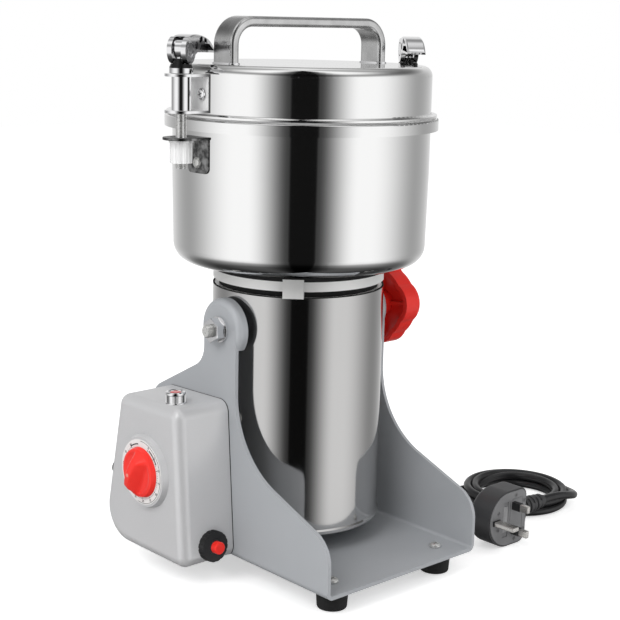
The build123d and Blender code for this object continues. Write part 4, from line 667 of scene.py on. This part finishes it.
# ---- Timer -------------------------------------------------------------------------------------
# A clockwork timer behind a printed aluminium dial, and a moulded red knob with a finger ridge that
# is pressed on its shaft and turns past the printed minutes.
dial_print = Finish("dial_print", (0.8, 0.8, 0.79), 0.35)
cloud = dial_print.noise(150)
dial_print.clouded(cloud, (0.76, 0.76, 0.75), (0.83, 0.83, 0.82), 0.3, 0.1)
paint(dial_print, "dial_plate")

DIAL = Vector((-138.1, 29, 88.7))
# where the knob points at rest, and how far the minutes run on from there, in degrees
POINTER, DIAL_SWEEP = 66, 300
dial_ink = Finish("dial_ink", (0.02, 0.02, 0.02), 0.5)
dial_ink.vary(Roughness=0.45 + dial_ink.noise(900) * 0.15)
INK_THICK = 0.12
dial_seat = seat(DIAL, (0, -1, 0), (0, 0, 1))
marks = bmesh.new()


def stroke(shape, inner, outer, start, stop):
    """Adds a printed arc between two radii of the dial."""
    steps = max(int(abs(stop - start) / 3), 1)
    turned(shape, dial_seat, box_outline(inner, 0, outer, INK_THICK), steps, start, stop - start)


# two thick arcs, one on each side of the knob's pointer, and a fine ring outside the figures
for inner, outer, start, stop in (
    (22.3, 23.2, 62, 28), (22.3, 23.2, 128, 100), (25.4, 25.7, -100, 92)
):
    stroke(marks, inner, outer, start, stop)
MINUTE_STEP, STEPS_ROUND = 5, 12
FIGURE_AT, FIGURE_TALL = 23.9, 2.6
for number in range(STEPS_ROUND * MINUTE_STEP + 1):
    angle = POINTER - DIAL_SWEEP * number / (STEPS_ROUND * MINUTE_STEP)
    inner, half = (21.5, 0.5) if number % MINUTE_STEP else (21.0, 0.9)
    stroke(marks, inner, 22.1, angle - half, angle + half)
for number in range(STEPS_ROUND + 1):
    words = bpy.data.curves.new("minutes", "FONT")
    words.body = str(number * MINUTE_STEP)
    words.size, words.extrude = FIGURE_TALL, INK_THICK / 2
    words.align_x, words.align_y = "CENTER", "CENTER"
    words.resolution_u = 3
    figure = bpy.data.objects.new("minutes", words)
    flat = bpy.data.meshes.new_from_object(figure)
    angle = radians(POINTER - DIAL_SWEEP * number / STEPS_ROUND)
    middle = (FIGURE_AT * cos(angle), FIGURE_AT * sin(angle), INK_THICK / 2)
    flat.transform(dial_seat @ Matrix.Translation(middle))
    marks.from_mesh(flat)
    bpy.data.objects.remove(figure)
piece("dial_marks", marks, dial_ink, "base")

red_plastic = Finish(
    "red_plastic", (0.78, 0.02, 0.014), 0.34, Specular_IOR_Level=0.35, Coat_Weight=0.15
)
cloud = red_plastic.noise(40)
red_plastic.vary(
    Base_Color=red_plastic.mix(cloud, (0.8, 0.018, 0.012), (0.9, 0.034, 0.022)),
    Roughness=0.3 + red_plastic.noise(220) * 0.1,
)
red_plastic.relief(red_plastic.noise(500), 0.00003)

KNOB_FOOT, KNOB_CROWN, KNOB_SKIRT = 20.5, 19.25, 5.0
RIDGE_TALL, RIDGE_HALF, RIDGE_END = 8.4, 9.5, 18.9
# how wide the ridge's sides and its ends slope, and how far out its back would fall to nothing
RIDGE_SIDE, RIDGE_NOSE, RIDGE_SLOPE = 7.5, 7.0, 25.0
# the crown's rounded edge, and the scoops for the fingers: how deep, from where, how soon
EDGE_FALL, EDGE_WIDE = 1.1, 2.4
SCOOP_DEEP, SCOOP_FROM, SCOOP_WIDE = 1.2, 5.5, 5
KNOB_RINGS, KNOB_SPOKES = 36, 120
# the knob turns clear of the dial by this much
KNOB_CLEAR = 0.1


def eased(distance, width):
    """0 at or below 0 and 1 from width up, smooth between them."""
    share = min(max(distance / width, 0), 1)
    return share * share * (3 - 2 * share)


tip = radians(POINTER)
knob_foot = DIAL - Vector((KNOB_CLEAR, 0, 0))
knob_seat = seat(knob_foot, (0, -sin(tip), -cos(tip)), (0, -cos(tip), sin(tip)))
knob = bmesh.new()
rings = []
for ring in range(KNOB_RINGS + 2):
    rings.append([])
    for spoke in range(KNOB_SPOKES):
        angle = 2 * pi * spoke / KNOB_SPOKES
        radius = KNOB_CROWN * ring / KNOB_RINGS if ring <= KNOB_RINGS else KNOB_FOOT
        x, y, z = radius * cos(angle), radius * sin(angle), 0
        if ring <= KNOB_RINGS:
            ridge = eased(RIDGE_HALF - abs(x), RIDGE_SIDE) * eased(RIDGE_END - abs(y), RIDGE_NOSE)
            ridge *= 1 - (y / RIDGE_SLOPE) ** 2
            skirt = KNOB_SKIRT - EDGE_FALL * eased(radius - KNOB_CROWN + EDGE_WIDE, EDGE_WIDE)
            scoop = SCOOP_DEEP * eased(abs(x) - SCOOP_FROM, SCOOP_WIDE)
            scoop *= eased(KNOB_CROWN - radius, SCOOP_WIDE)
            z = skirt - scoop + RIDGE_TALL * ridge
        rings[-1].append(knob.verts.new(knob_seat @ Vector((x, y, z))))
for one, two in zip(rings, rings[1:]):
    for spoke in range(KNOB_SPOKES):
        after = (spoke + 1) % KNOB_SPOKES
        knob.faces.new((one[spoke], two[spoke], two[after], one[after]))
knob.faces.new(rings[-1][::-1])
bmesh.ops.remove_doubles(knob, verts=knob.verts, dist=1e-7)
turned(knob, knob_seat, box_outline(0, -19, 3, 0.1), 24)
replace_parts(piece("timer_knob_moulded", knob, red_plastic, "timer_knob"), "timer_knob")

pale_red = Finish("pale_red", (0.85, 0.25, 0.2), 0.35)
pale_red.vary(Roughness=0.3 + pale_red.noise(400) * 0.1)
# a small pale red disc on the middle of the ridge's top
pale_spot = bmesh.new()
turned(pale_spot, knob_seat, [(0, 12), (1.5, 12), (1.5, 13.5), (1.0, 13.7), (0, 13.75)], 24)
piece("knob_cap", pale_spot, pale_red, "timer_knob")

# ---- Protector and lamp --------------------------------------------------------------------------
# The overload protector is held by a fluted black ring nut, with its red reset button in the middle.
# The pilot lamp has a red lens in a chromed bezel with a knurled grip.
paint(black_plastic, "protector_body")
softened("protector_nut", black_plastic, "base", 0.5)
paint(red_plastic, "reset_button")

chrome = Finish("chrome", (0.9, 0.9, 0.91), 0.06, Metallic=1.0)
haze = chrome.noise(120, detail=3)
chrome.clouded(haze, (0.86, 0.86, 0.87), (0.93, 0.93, 0.94), 0.04, 0.06)
paint(chrome, "lamp_bezel")
LAMP_FALL = radians(1.8)
lamp_seat = seat((-117, 11.5, 146.28), (1, 0, 0), (0, cos(LAMP_FALL), -sin(LAMP_FALL)))
KNURLS, KNURL_ROOT, KNURL_TIP = 44, 7.4, 7.8
knurled = bmesh.new()
teeth = []
for number in range(KNURLS):
    for radius, shift in ((KNURL_ROOT, 0), (KNURL_TIP, 0.3), (KNURL_TIP, 0.6), (KNURL_ROOT, 0.9)):
        angle = 2 * pi * (number + shift) / KNURLS
        teeth.append((radius * cos(angle), radius * sin(angle)))
slab(knurled, lamp_seat, teeth, 0.9, 6.9)
turned(knurled, lamp_seat, [(6.0, 0), (8.4, 0), (8.4, 0.5), (8.0, 0.9), (6.0, 0.9)], 48)
lip = [(5.3, 6.6), (7.6, 6.6), (8.1, 7.2), (8.1, 8.6), (7.6, 9.2), (6.3, 9.4), (5.6, 9.0), (5.3, 8.4)]
turned(knurled, lamp_seat, lip, 48)
piece("lamp_knurl", knurled, chrome, "base")

red_lens = Finish("red_lens", (0.62, 0.015, 0.012), 0.12, Coat_Weight=0.5)
facet = red_lens.noise(900, detail=1)
red_lens.clouded(facet, (0.5, 0.01, 0.008), (0.75, 0.03, 0.025), 0.08, 0.08)
paint(red_lens, "lamp_lens")

# ---- Motor -------------------------------------------------------------------------------------
# A drawn steel tube, turned to a satin shine, over the stator and its two cast end frames. Black
# rings behind the cooling windows and in the gaps under the bowl are painted shade.
drawn_steel = Finish("drawn_steel", (0.62, 0.61, 0.6), 0.12, Metallic=1.0)
lathe_lines = drawn_steel.lines(drawn_steel.axes(drawn_steel.place())[2], 2600, 3)
smear = drawn_steel.noise(18, detail=3, stretch=(1, 1, 0.3))
drawn_steel.vary(
    Base_Color=drawn_steel.mix(
        lathe_lines * 0.6 + smear * 0.4, (0.53, 0.525, 0.52), (0.62, 0.615, 0.61)
    ),
    Roughness=0.06 + lathe_lines * 0.03 + smear * 0.03,
)
paint(drawn_steel, "motor_shell")

alloy = Finish("alloy", (0.84, 0.84, 0.83), 0.3, Metallic=0.3)
alloy.vary(Roughness=0.24 + alloy.noise(400) * 0.16)
alloy.relief(alloy.noise(1400), 0.00004)
paint(alloy, "lower_end_frame")
softened("bottom_cover", frame_paint, "tilt_unit", 0.3)

# near black, for painted shade behind the windows and in the gaps under the bowl
fibre = Finish("fibre", (0.01, 0.01, 0.01), 0.8)
fibre.vary(Roughness=0.7 + fibre.noise(600, stretch=(1, 1, 0.1)) * 0.2)
upright = seat((0, 0, 0), (1, 0, 0), (0, 1, 0))
# painted shade behind the windows, under the bowl, round its foot, and in the tube's mouth
SHADE_RINGS = (
    (64.4, 228, 65.4, 238), (56, 245.05, 71, 247.95), (76.05, 248.0, 76.5, 251.45),
    (69, 231.9, 70.45, 232.5),
)
shade_rings = bmesh.new()
for band in SHADE_RINGS:
    turned(shade_rings, upright, box_outline(*band), 96)
piece("fibre_liner", shade_rings, fibre, "tilt_unit")
# a window is cut between each two posts of the upper end frame
WINDOW = (65.6, 232.4, 72, 237.2)
POSTS, POST_HALF, WINDOW_SWEEP = (105, 225, 345), 8, 104
casting = bmesh.new()
casting.from_mesh(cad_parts["upper_end_frame"].data)
bmesh.ops.remove_doubles(casting, verts=casting.verts, dist=1e-6)
windows = bmesh.new()
for post in POSTS:
    turned(windows, upright, box_outline(*WINDOW), 48, post + POST_HALF, WINDOW_SWEEP)
casting = carved(casting, windows)
casting = piece("upper_end_frame_windowed", casting, alloy, "tilt_unit")
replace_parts(casting, "upper_end_frame")
# its round outside keeps the true directions of a turned surface
directions = []
for face in casting.data.polygons:
    for index in face.vertices:
        away = casting.data.vertices[index].co - AXIS * MM
        outward = Vector((away.x, away.y, 0)).normalized()
        directions.append(outward if face.normal.dot(outward) > 0.97 else face.normal)
casting.data.normals_split_custom_set(directions)

inner_steel = Finish("inner_steel", (0.42, 0.41, 0.4), 0.35, Metallic=1.0)
stack = inner_steel.lines(inner_steel.axes(inner_steel.place())[2], 1500)
inner_steel.vary(
    Base_Color=inner_steel.mix(stack, (0.3, 0.295, 0.29), (0.5, 0.49, 0.48)),
    Roughness=0.28 + inner_steel.noise(500) * 0.2,
)
paint(inner_steel, "stator_core", "armature", "bearings", "rotor_shaft")

copper = Finish("copper", (0.72, 0.32, 0.18), 0.3, Metallic=1.0)
strand = copper.noise(800, stretch=(1, 1, 3))
copper.clouded(strand, (0.55, 0.22, 0.11), (0.8, 0.38, 0.22), 0.24, 0.2)
paint(copper, "field_coils", "brush_holders", "commutator")

carbon = Finish("carbon", (0.02, 0.02, 0.02), 0.6)
carbon.vary(Roughness=0.5 + carbon.noise(900) * 0.2)
paint(carbon, "carbon_brushes")
paint(black_plastic, "cooling_fan")

# ---- Pivots ------------------------------------------------------------------------------------
# The left pivot is a threaded stud under a hexagon nut and washer. The right one is clamped by a
# moulded red star knob on its own stud.
PIVOT_Z = 203.0


def thread(shape, at, inner, outer, start, stop, pitch):
    """Adds a screw thread, drawn as rings, between two heights of a seat."""
    profile = []
    count = int((stop - start) / pitch)
    for number in range(count):
        low = start + number * pitch
        profile += [(inner, low), (outer, low + pitch * 0.4), (outer, low + pitch * 0.6)]
    top = start + count * pitch
    profile += [(inner, top), (inner - 1, top), (inner - 1, start)]
    turned(shape, at, profile, 32)


paint(zinc, "pivot_stud", "knob_stud")
softened("pivot_nut", chrome, "tilt_unit", 0.6)
softened("clamp_washer", zinc, "clamp_washer", 0.3)
stud_thread = bmesh.new()
thread(stud_thread, seat((-92.3, 0, PIVOT_Z), (0, 0, 1), (0, 1, 0)), 4.9, 5.25, 0, 4, 0.8)
piece("stud_thread", stud_thread, zinc, "tilt_unit")
softened("star_knob", red_plastic, "star_knob", 0.7)
# a dished cover closes the knob's back between its hub and the inside of its lobed rim
LOBE_OUT, LOBE_RADIUS, KNOB_BODY, LOBE_TURN = 16.5, 19.0, 31.0, -7
HUB, RIM_X, RIM_WALL, DISH = 11.0, 94.3, 2.6, 6.0
DISH_RINGS, DISH_SPOKES = 14, 144
back_seat = seat((RIM_X, 0, PIVOT_Z), (0, -1, 0), (0, 0, 1))
cover = bmesh.new()
dish_rings = []
for ring in range(DISH_RINGS + 1):
    share = ring / DISH_RINGS
    dish_rings.append([])
    for spoke in range(DISH_SPOKES):
        angle = 2 * pi * spoke / DISH_SPOKES
        lobe = (angle - radians(180 - LOBE_TURN) + pi / 4) % (pi / 2) - pi / 4
        lobe_edge = LOBE_OUT * cos(lobe) + (LOBE_RADIUS ** 2 - (LOBE_OUT * sin(lobe)) ** 2) ** 0.5
        rim = max(KNOB_BODY, lobe_edge) - RIM_WALL
        radius = HUB - 1 + (rim - HUB + 1) * share
        point = Vector((radius * cos(angle), radius * sin(angle), -DISH * (1 - share ** 2) ** 0.5))
        dish_rings[-1].append(cover.verts.new(back_seat @ point))
for one, two in zip(dish_rings, dish_rings[1:]):
    for spoke in range(DISH_SPOKES):
        after = (spoke + 1) % DISH_SPOKES
        cover.faces.new((one[spoke], one[after], two[after], two[spoke]))
piece("star_knob_back", cover, red_plastic, "star_knob")

# ---- Bowl --------------------------------------------------------------------------------------
# Spun stainless steel, polished on a wheel, so that its faint lines run round it. Inside, two
# ground steel blades are held by a domed nut.
polished = Finish("polished", (0.94, 0.94, 0.938), 0.06, Metallic=1.0)
from_x, from_y, from_z = polished.axes(polished.place())
from_x, from_y = from_x - AXIS.x * MM, from_y - AXIS.y * MM
out = (from_x * from_x + from_y * from_y) ** 0.5
wheel_lines = polished.lines(out + from_z, 3000)
smear = polished.noise(9, detail=3)
polished.vary(
    Base_Color=polished.mix(
        wheel_lines * 0.5 + smear * 0.5, (0.91, 0.91, 0.907), (0.96, 0.96, 0.957)
    ),
    Roughness=0.045 + wheel_lines * 0.02 + smear * 0.025,
)
paint(polished, "bowl", "lid", "lower_blade", "upper_blade", "blade_nut")

# ---- Lid ---------------------------------------------------------------------------------------
# Spun from the same sheet as the bowl and polished with it, with a silicone ring pressed into its
# rim and a chromed strap handle welded on top.
silicone = Finish("silicone", (0.6, 0.6, 0.6), 0.5)
silicone.vary(Roughness=0.45 + silicone.noise(300) * 0.12)
paint(silicone, "lid_seal")
strap_steel = Finish("strap_steel", (0.8, 0.8, 0.8), 0.2, Metallic=1.0)
# the strap's colour is mottled dark and bright at random, painted reflection
mottled_reflection = strap_steel.noise(70, detail=4)
strap_steel.clouded(mottled_reflection, (0.4, 0.4, 0.4), (0.95, 0.95, 0.95), 0.2, 0.14)
softened("handle", strap_steel, "lid", 0.4)
LEG_X, LID_TOP = 78.5, 410.0
welds = bmesh.new()
for side in (-1, 1):
    foot_seat = seat((side * LEG_X, 0, LID_TOP), (1, 0, 0), (0, 1, 0))
    bead = rounded([(4, -12, 3), (4, 12, 3), (-4, 12, 3), (-4, -12, 3)], 1.3)
    slab(welds, foot_seat, bead, -0.3, 1.1, 1.0)
piece("handle_welds", welds, chrome, "lid")

# ---- Brackets ----------------------------------------------------------------------------------
# Pressed steel: a bright satin one screwed to the lid and holding the rod's tube, and a duller one
# riveted to the bowl, with a tab for the nut to pull on.
satin_plate = Finish("satin_plate", (0.93, 0.93, 0.93), 0.3)
cloud = satin_plate.noise(60, detail=3)
satin_plate.clouded(cloud, (0.9, 0.9, 0.9), (0.95, 0.95, 0.95), 0.24, 0.1)
# dark dull metal: the bowl brackets' finish, and painted shade on the lid brackets' sides and bends
dull_plate = Finish("dull_plate", (0.3, 0.3, 0.3), 0.3, Metallic=1.0)
cloud = dull_plate.noise(140, detail=4)
stain = dull_plate.step(cloud, 0.4, 0.65)
dull_plate.vary(
    Base_Color=dull_plate.mix(stain, (0.08, 0.08, 0.08), (0.38, 0.38, 0.38)),
    Roughness=0.2 + cloud * 0.2,
)
SIDES = (("left", -1), ("right", 1))
LID_WALL, BRACKET_SHEET = 103.8, 2.0
BRACKET_FACE = LID_WALL + BRACKET_SHEET
LATCH_X, ROD_HOLE = 121.0, 4.3
HOOK_HALF, HOOK_LOW, TAB_TOP = 12.5, 328, 356
TAB_HALF = 14
SCREW_Y, SCREW_Z, RIVET_Z = -6, 388, 336
# the head's radius and height, the shank's radius and its length
LID_SCREW = (4.4, 2.6, 2.45, 7)
RIVET_DOME = [
    (0, -6), (2.4, -6), (2.4, 0), (4.2, 0), (4.1, 0.7), (3.5, 1.4), (2.4, 1.85), (0, 2.0)
]
fixings = bmesh.new()
fixing_shade_slabs = bmesh.new()
rivets = bmesh.new()
for word, side in SIDES:
    clip = softened(f"{word}_lid_bracket", chrome, "lid", 0.3)
    clip.data.materials.append(satin_plate.material)
    clip.data.materials.append(dull_plate.material)
    # the plate on the lid's wall is satin facing out; its sides and bends are painted dark as shade
    for face in clip.data.polygons:
        away = face.center - AXIS * MM
        if away.xy.length < (BRACKET_FACE + 0.3) * MM and abs(face.normal.z) < 0.5:
            face.material_index = 1 if abs(face.normal.x) > 0.6 else 2
    hook = bmesh.new()
    outward_plate = seat((0, 0, 0), (0, side, 0), (0, 0, 1))
    corners = [(HOOK_HALF, HOOK_LOW, 4), (HOOK_HALF, TAB_TOP, 0.5)]
    corners += [(-HOOK_HALF, TAB_TOP, 0.5), (-HOOK_HALF, HOOK_LOW, 4)]
    slab(hook, outward_plate, rounded(corners, 0), 95, 115)
    wall = bmesh.new()
    turned(wall, upright, box_outline(LID_WALL, 320, BRACKET_FACE, 360), 240)
    hook = carved(hook, wall, "INTERSECT")
    tab = bmesh.new()
    tab_seat = seat((side * LATCH_X, 0, TAB_TOP - BRACKET_SHEET), (side, 0, 0), (0, side, 0))
    tab_outline = [*arc((0, 0), TAB_HALF, -90, 90, 24), (-20, TAB_HALF), (-20, -TAB_HALF)]
    slab(tab, tab_seat, tab_outline, 0, BRACKET_SHEET)
    bowl_side = bmesh.new()
    turned(bowl_side, upright, box_outline(0, 350, LID_WALL + 0.4, 360), 240)
    tab = carved(tab, bowl_side)
    # a hole for the left rod, and a slot that the right one swings out of
    opening = bmesh.new()
    if side < 0:
        turned(opening, tab_seat, box_outline(0, -1, ROD_HOLE, 3), 32)
    else:
        slot_outline = [(4.5, 20), (-5.1, 20), *arc((-0.3, 0), 4.8, 180, 360, 16)]
        slab(opening, tab_seat, slot_outline, -1, 3)
    tab = carved(tab, opening)
    tab_mesh = bpy.data.meshes.new("tab")
    tab.to_mesh(tab_mesh)
    tab.free()
    hook.from_mesh(tab_mesh)
    made = piece(
        f"{word}_bowl_bracket_pressed", hook, dull_plate, "tilt_unit", 0.35
    )
    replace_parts(made, f"{word}_bowl_bracket")
    screw_seat = seat((side * BRACKET_FACE, SCREW_Y, SCREW_Z), (0, side, 0.4), (0, -0.4 * side, 1))
    pan_screw(fixings, fixing_shade_slabs, screw_seat, *LID_SCREW)
    nut_seat = seat((side * (LID_WALL - 4.2), SCREW_Y, SCREW_Z), (0, side, 0), (0, 0, 1))
    slab(fixings, nut_seat, arc((0, 0), 4.4, 0, 300, 5), 0, 2.0, 0.3)
    rivet_seat = seat((side * BRACKET_FACE, 0, RIVET_Z), (0, side, 0), (0, 0, 1))
    turned(rivets, rivet_seat, RIVET_DOME, 32)
    tail_seat = seat((side * (LID_WALL - 2.8), 0, RIVET_Z), (0, side, 0), (0, 0, 1))
    turned(rivets, tail_seat, [(0, 0), (3.3, 0), (3.9, 0.5), (4.0, 1.2), (0, 1.2)], 32)
made = piece("lid_bracket_screws_crossed", fixings, chrome, "lid")
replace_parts(made, "lid_bracket_screws")
# the same painted shade in the lid screws' cross recesses
piece("lid_screw_recesses", fixing_shade_slabs, grime, "lid")
made = piece("bracket_rivets_domed", rivets, zinc, "tilt_unit")
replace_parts(made, "bracket_rivets")

# ---- Latches -----------------------------------------------------------------------------------
# Each rod hangs in the lid bracket's tube, threaded at its foot for the fluted nut. A cast and
# chromed cam lever turns on its cross pin, over a black saddle and a bright collar.
ROD_BOTTOM, NUT_BOTTOM, TONGUE_FOOT, PIN_Z = 332.5, 336.6, 374.0, 421.0
THREAD_ROOT = 3.9
FLUTE_DEEP, FLUTE_TIP = 7.4, 8.3
# how far each lever's arm is turned forward from the line through both latches
LEVER_TURN = {"left": 30.0, "right": 52.0}
# the arm's hollow flanks start this far from the pin, and lie this near to its middle
ARM_FROM, ARM_HALF = 7.5, 7.0
black_gloss = Finish("black_gloss", (0.008, 0.008, 0.008), 0.12)
black_gloss.vary(Roughness=0.08 + black_gloss.noise(300) * 0.08)
bright_nut = Finish("bright_nut", (0.93, 0.93, 0.93), 0.2, Metallic=0.15)
cloud = bright_nut.noise(200)
# the bottoms of the flutes are near black, painted shade
across, along, _ = bright_nut.axes(bright_nut.place())
across = (across - AXIS.x * MM).math("ABSOLUTE") - LATCH_X * MM
along = along - AXIS.y * MM
radius = (across * across + along * along) ** 0.5
outside = bright_nut.step(radius, FLUTE_DEEP * MM, FLUTE_TIP * MM)
bright = bright_nut.mix(cloud, (0.88, 0.88, 0.88), (0.95, 0.95, 0.95))
bright_nut.vary(
    Base_Color=bright_nut.mix(outside, (0.1, 0.1, 0.1), bright),
    Roughness=0.16 + cloud * 0.08,
)
# a dark rough metal for the flanks in each lever arm's hollow, painted shade
cast = Finish("cast", (0.16, 0.16, 0.165), 0.5, Metallic=0.6)
cast.vary(Roughness=0.42 + cast.noise(900, detail=3) * 0.2)
cast.relief(cast.noise(1600), 0.00008)
for word, side in SIDES:
    softened(f"{word}_latch_rod", chrome, "lid", 0.4)
    softened(f"{word}_latch_collar", chrome, "lid", 0.5)
    paint(black_gloss, f"{word}_latch_saddle")
    softened(f"{word}_latch_nut", bright_nut, f"{word}_latch_nut", 0.3)
    lever = softened(f"{word}_lever", chrome, f"{word}_lever", 0.45)
    lever.data.materials.append(cast.material)
    arm = Matrix.Rotation(radians(LEVER_TURN[word]), 3, "Z") @ Vector((-side, 0, 0))
    flank = arm.cross(Vector((0, 0, 1)))
    pin = (Vector((side * LATCH_X, 0, PIN_Z)) + AXIS) * MM
    # the flanks inside the arm's hollow are painted dark as shade
    for face in lever.data.polygons:
        away = face.center - pin
        in_hollow = away.dot(arm) > ARM_FROM * MM and abs(away.dot(flank)) < ARM_HALF * MM
        if in_hollow and abs(face.normal.z) < 0.99 and abs(face.normal.dot(flank)) > 0.9:
            face.material_index = 1
    rod_seat = seat((side * LATCH_X, 0, 0), (1, 0, 0), (0, 1, 0))
    rod_thread = bmesh.new()
    thread(rod_thread, rod_seat, THREAD_ROOT, 4.3, ROD_BOTTOM + 0.2, NUT_BOTTOM - 0.1, 0.75)
    thread(rod_thread, rod_seat, THREAD_ROOT, 4.2, TAB_TOP + 0.5, TONGUE_FOOT - 0.5, 1.0)
    piece(f"{word}_rod_thread", rod_thread, zinc, "lid")

# ---- Mirrors and sheen -------------------------------------------------------------------------
# The bowl, the lid and the tube, wiped clean, mirror the frame, the clamping knob and the room, but
# not the small fittings near them. One more lamp gives a sheen to painted and moulded pieces alone.
NOT_MIRRORED = [
    "control_box", "box_gasket", "dial_plate", "dial_marks", "timer_body", "timer_knob_moulded",
    "knob_cap", "lamp_bezel", "lamp_knurl", "lamp_lens", "protector_body", "protector_nut_softened",
    "reset_button", "lid_bracket_screws_crossed", "lid_screw_recesses", "bracket_rivets_domed",
    "upper_end_frame_windowed",
]
for word, _ in SIDES:
    NOT_MIRRORED += [f"{word}_lid_bracket_softened", f"{word}_bowl_bracket_pressed"]
    NOT_MIRRORED += [f"{word}_latch_{part}_softened" for part in ("rod", "collar", "nut")]
    NOT_MIRRORED.append(f"{word}_rod_thread")
for name in NOT_MIRRORED:
    bpy.data.objects[name].visible_glossy = False

SHEEN_PIECES = (
    "control_box", "reset_button", "timer_knob_moulded", "star_knob_softened",
    "protector_nut_softened", "plug_body_softened", "plug_plate", "cord_gland", "mains_lead",
    "rubber_feet_softened", "u_frame_softened",
)
sheen = lamp("sheen_light", (-1.6, -0.6, 1.6), 0.9, 5)
sheen.visible_glossy = True
sheen_pieces = bpy.data.collections.new("sheen_pieces")
for name in SHEEN_PIECES:
    sheen_pieces.objects.link(bpy.data.objects[name])
sheen.light_linking.receiver_collection = sheen_pieces
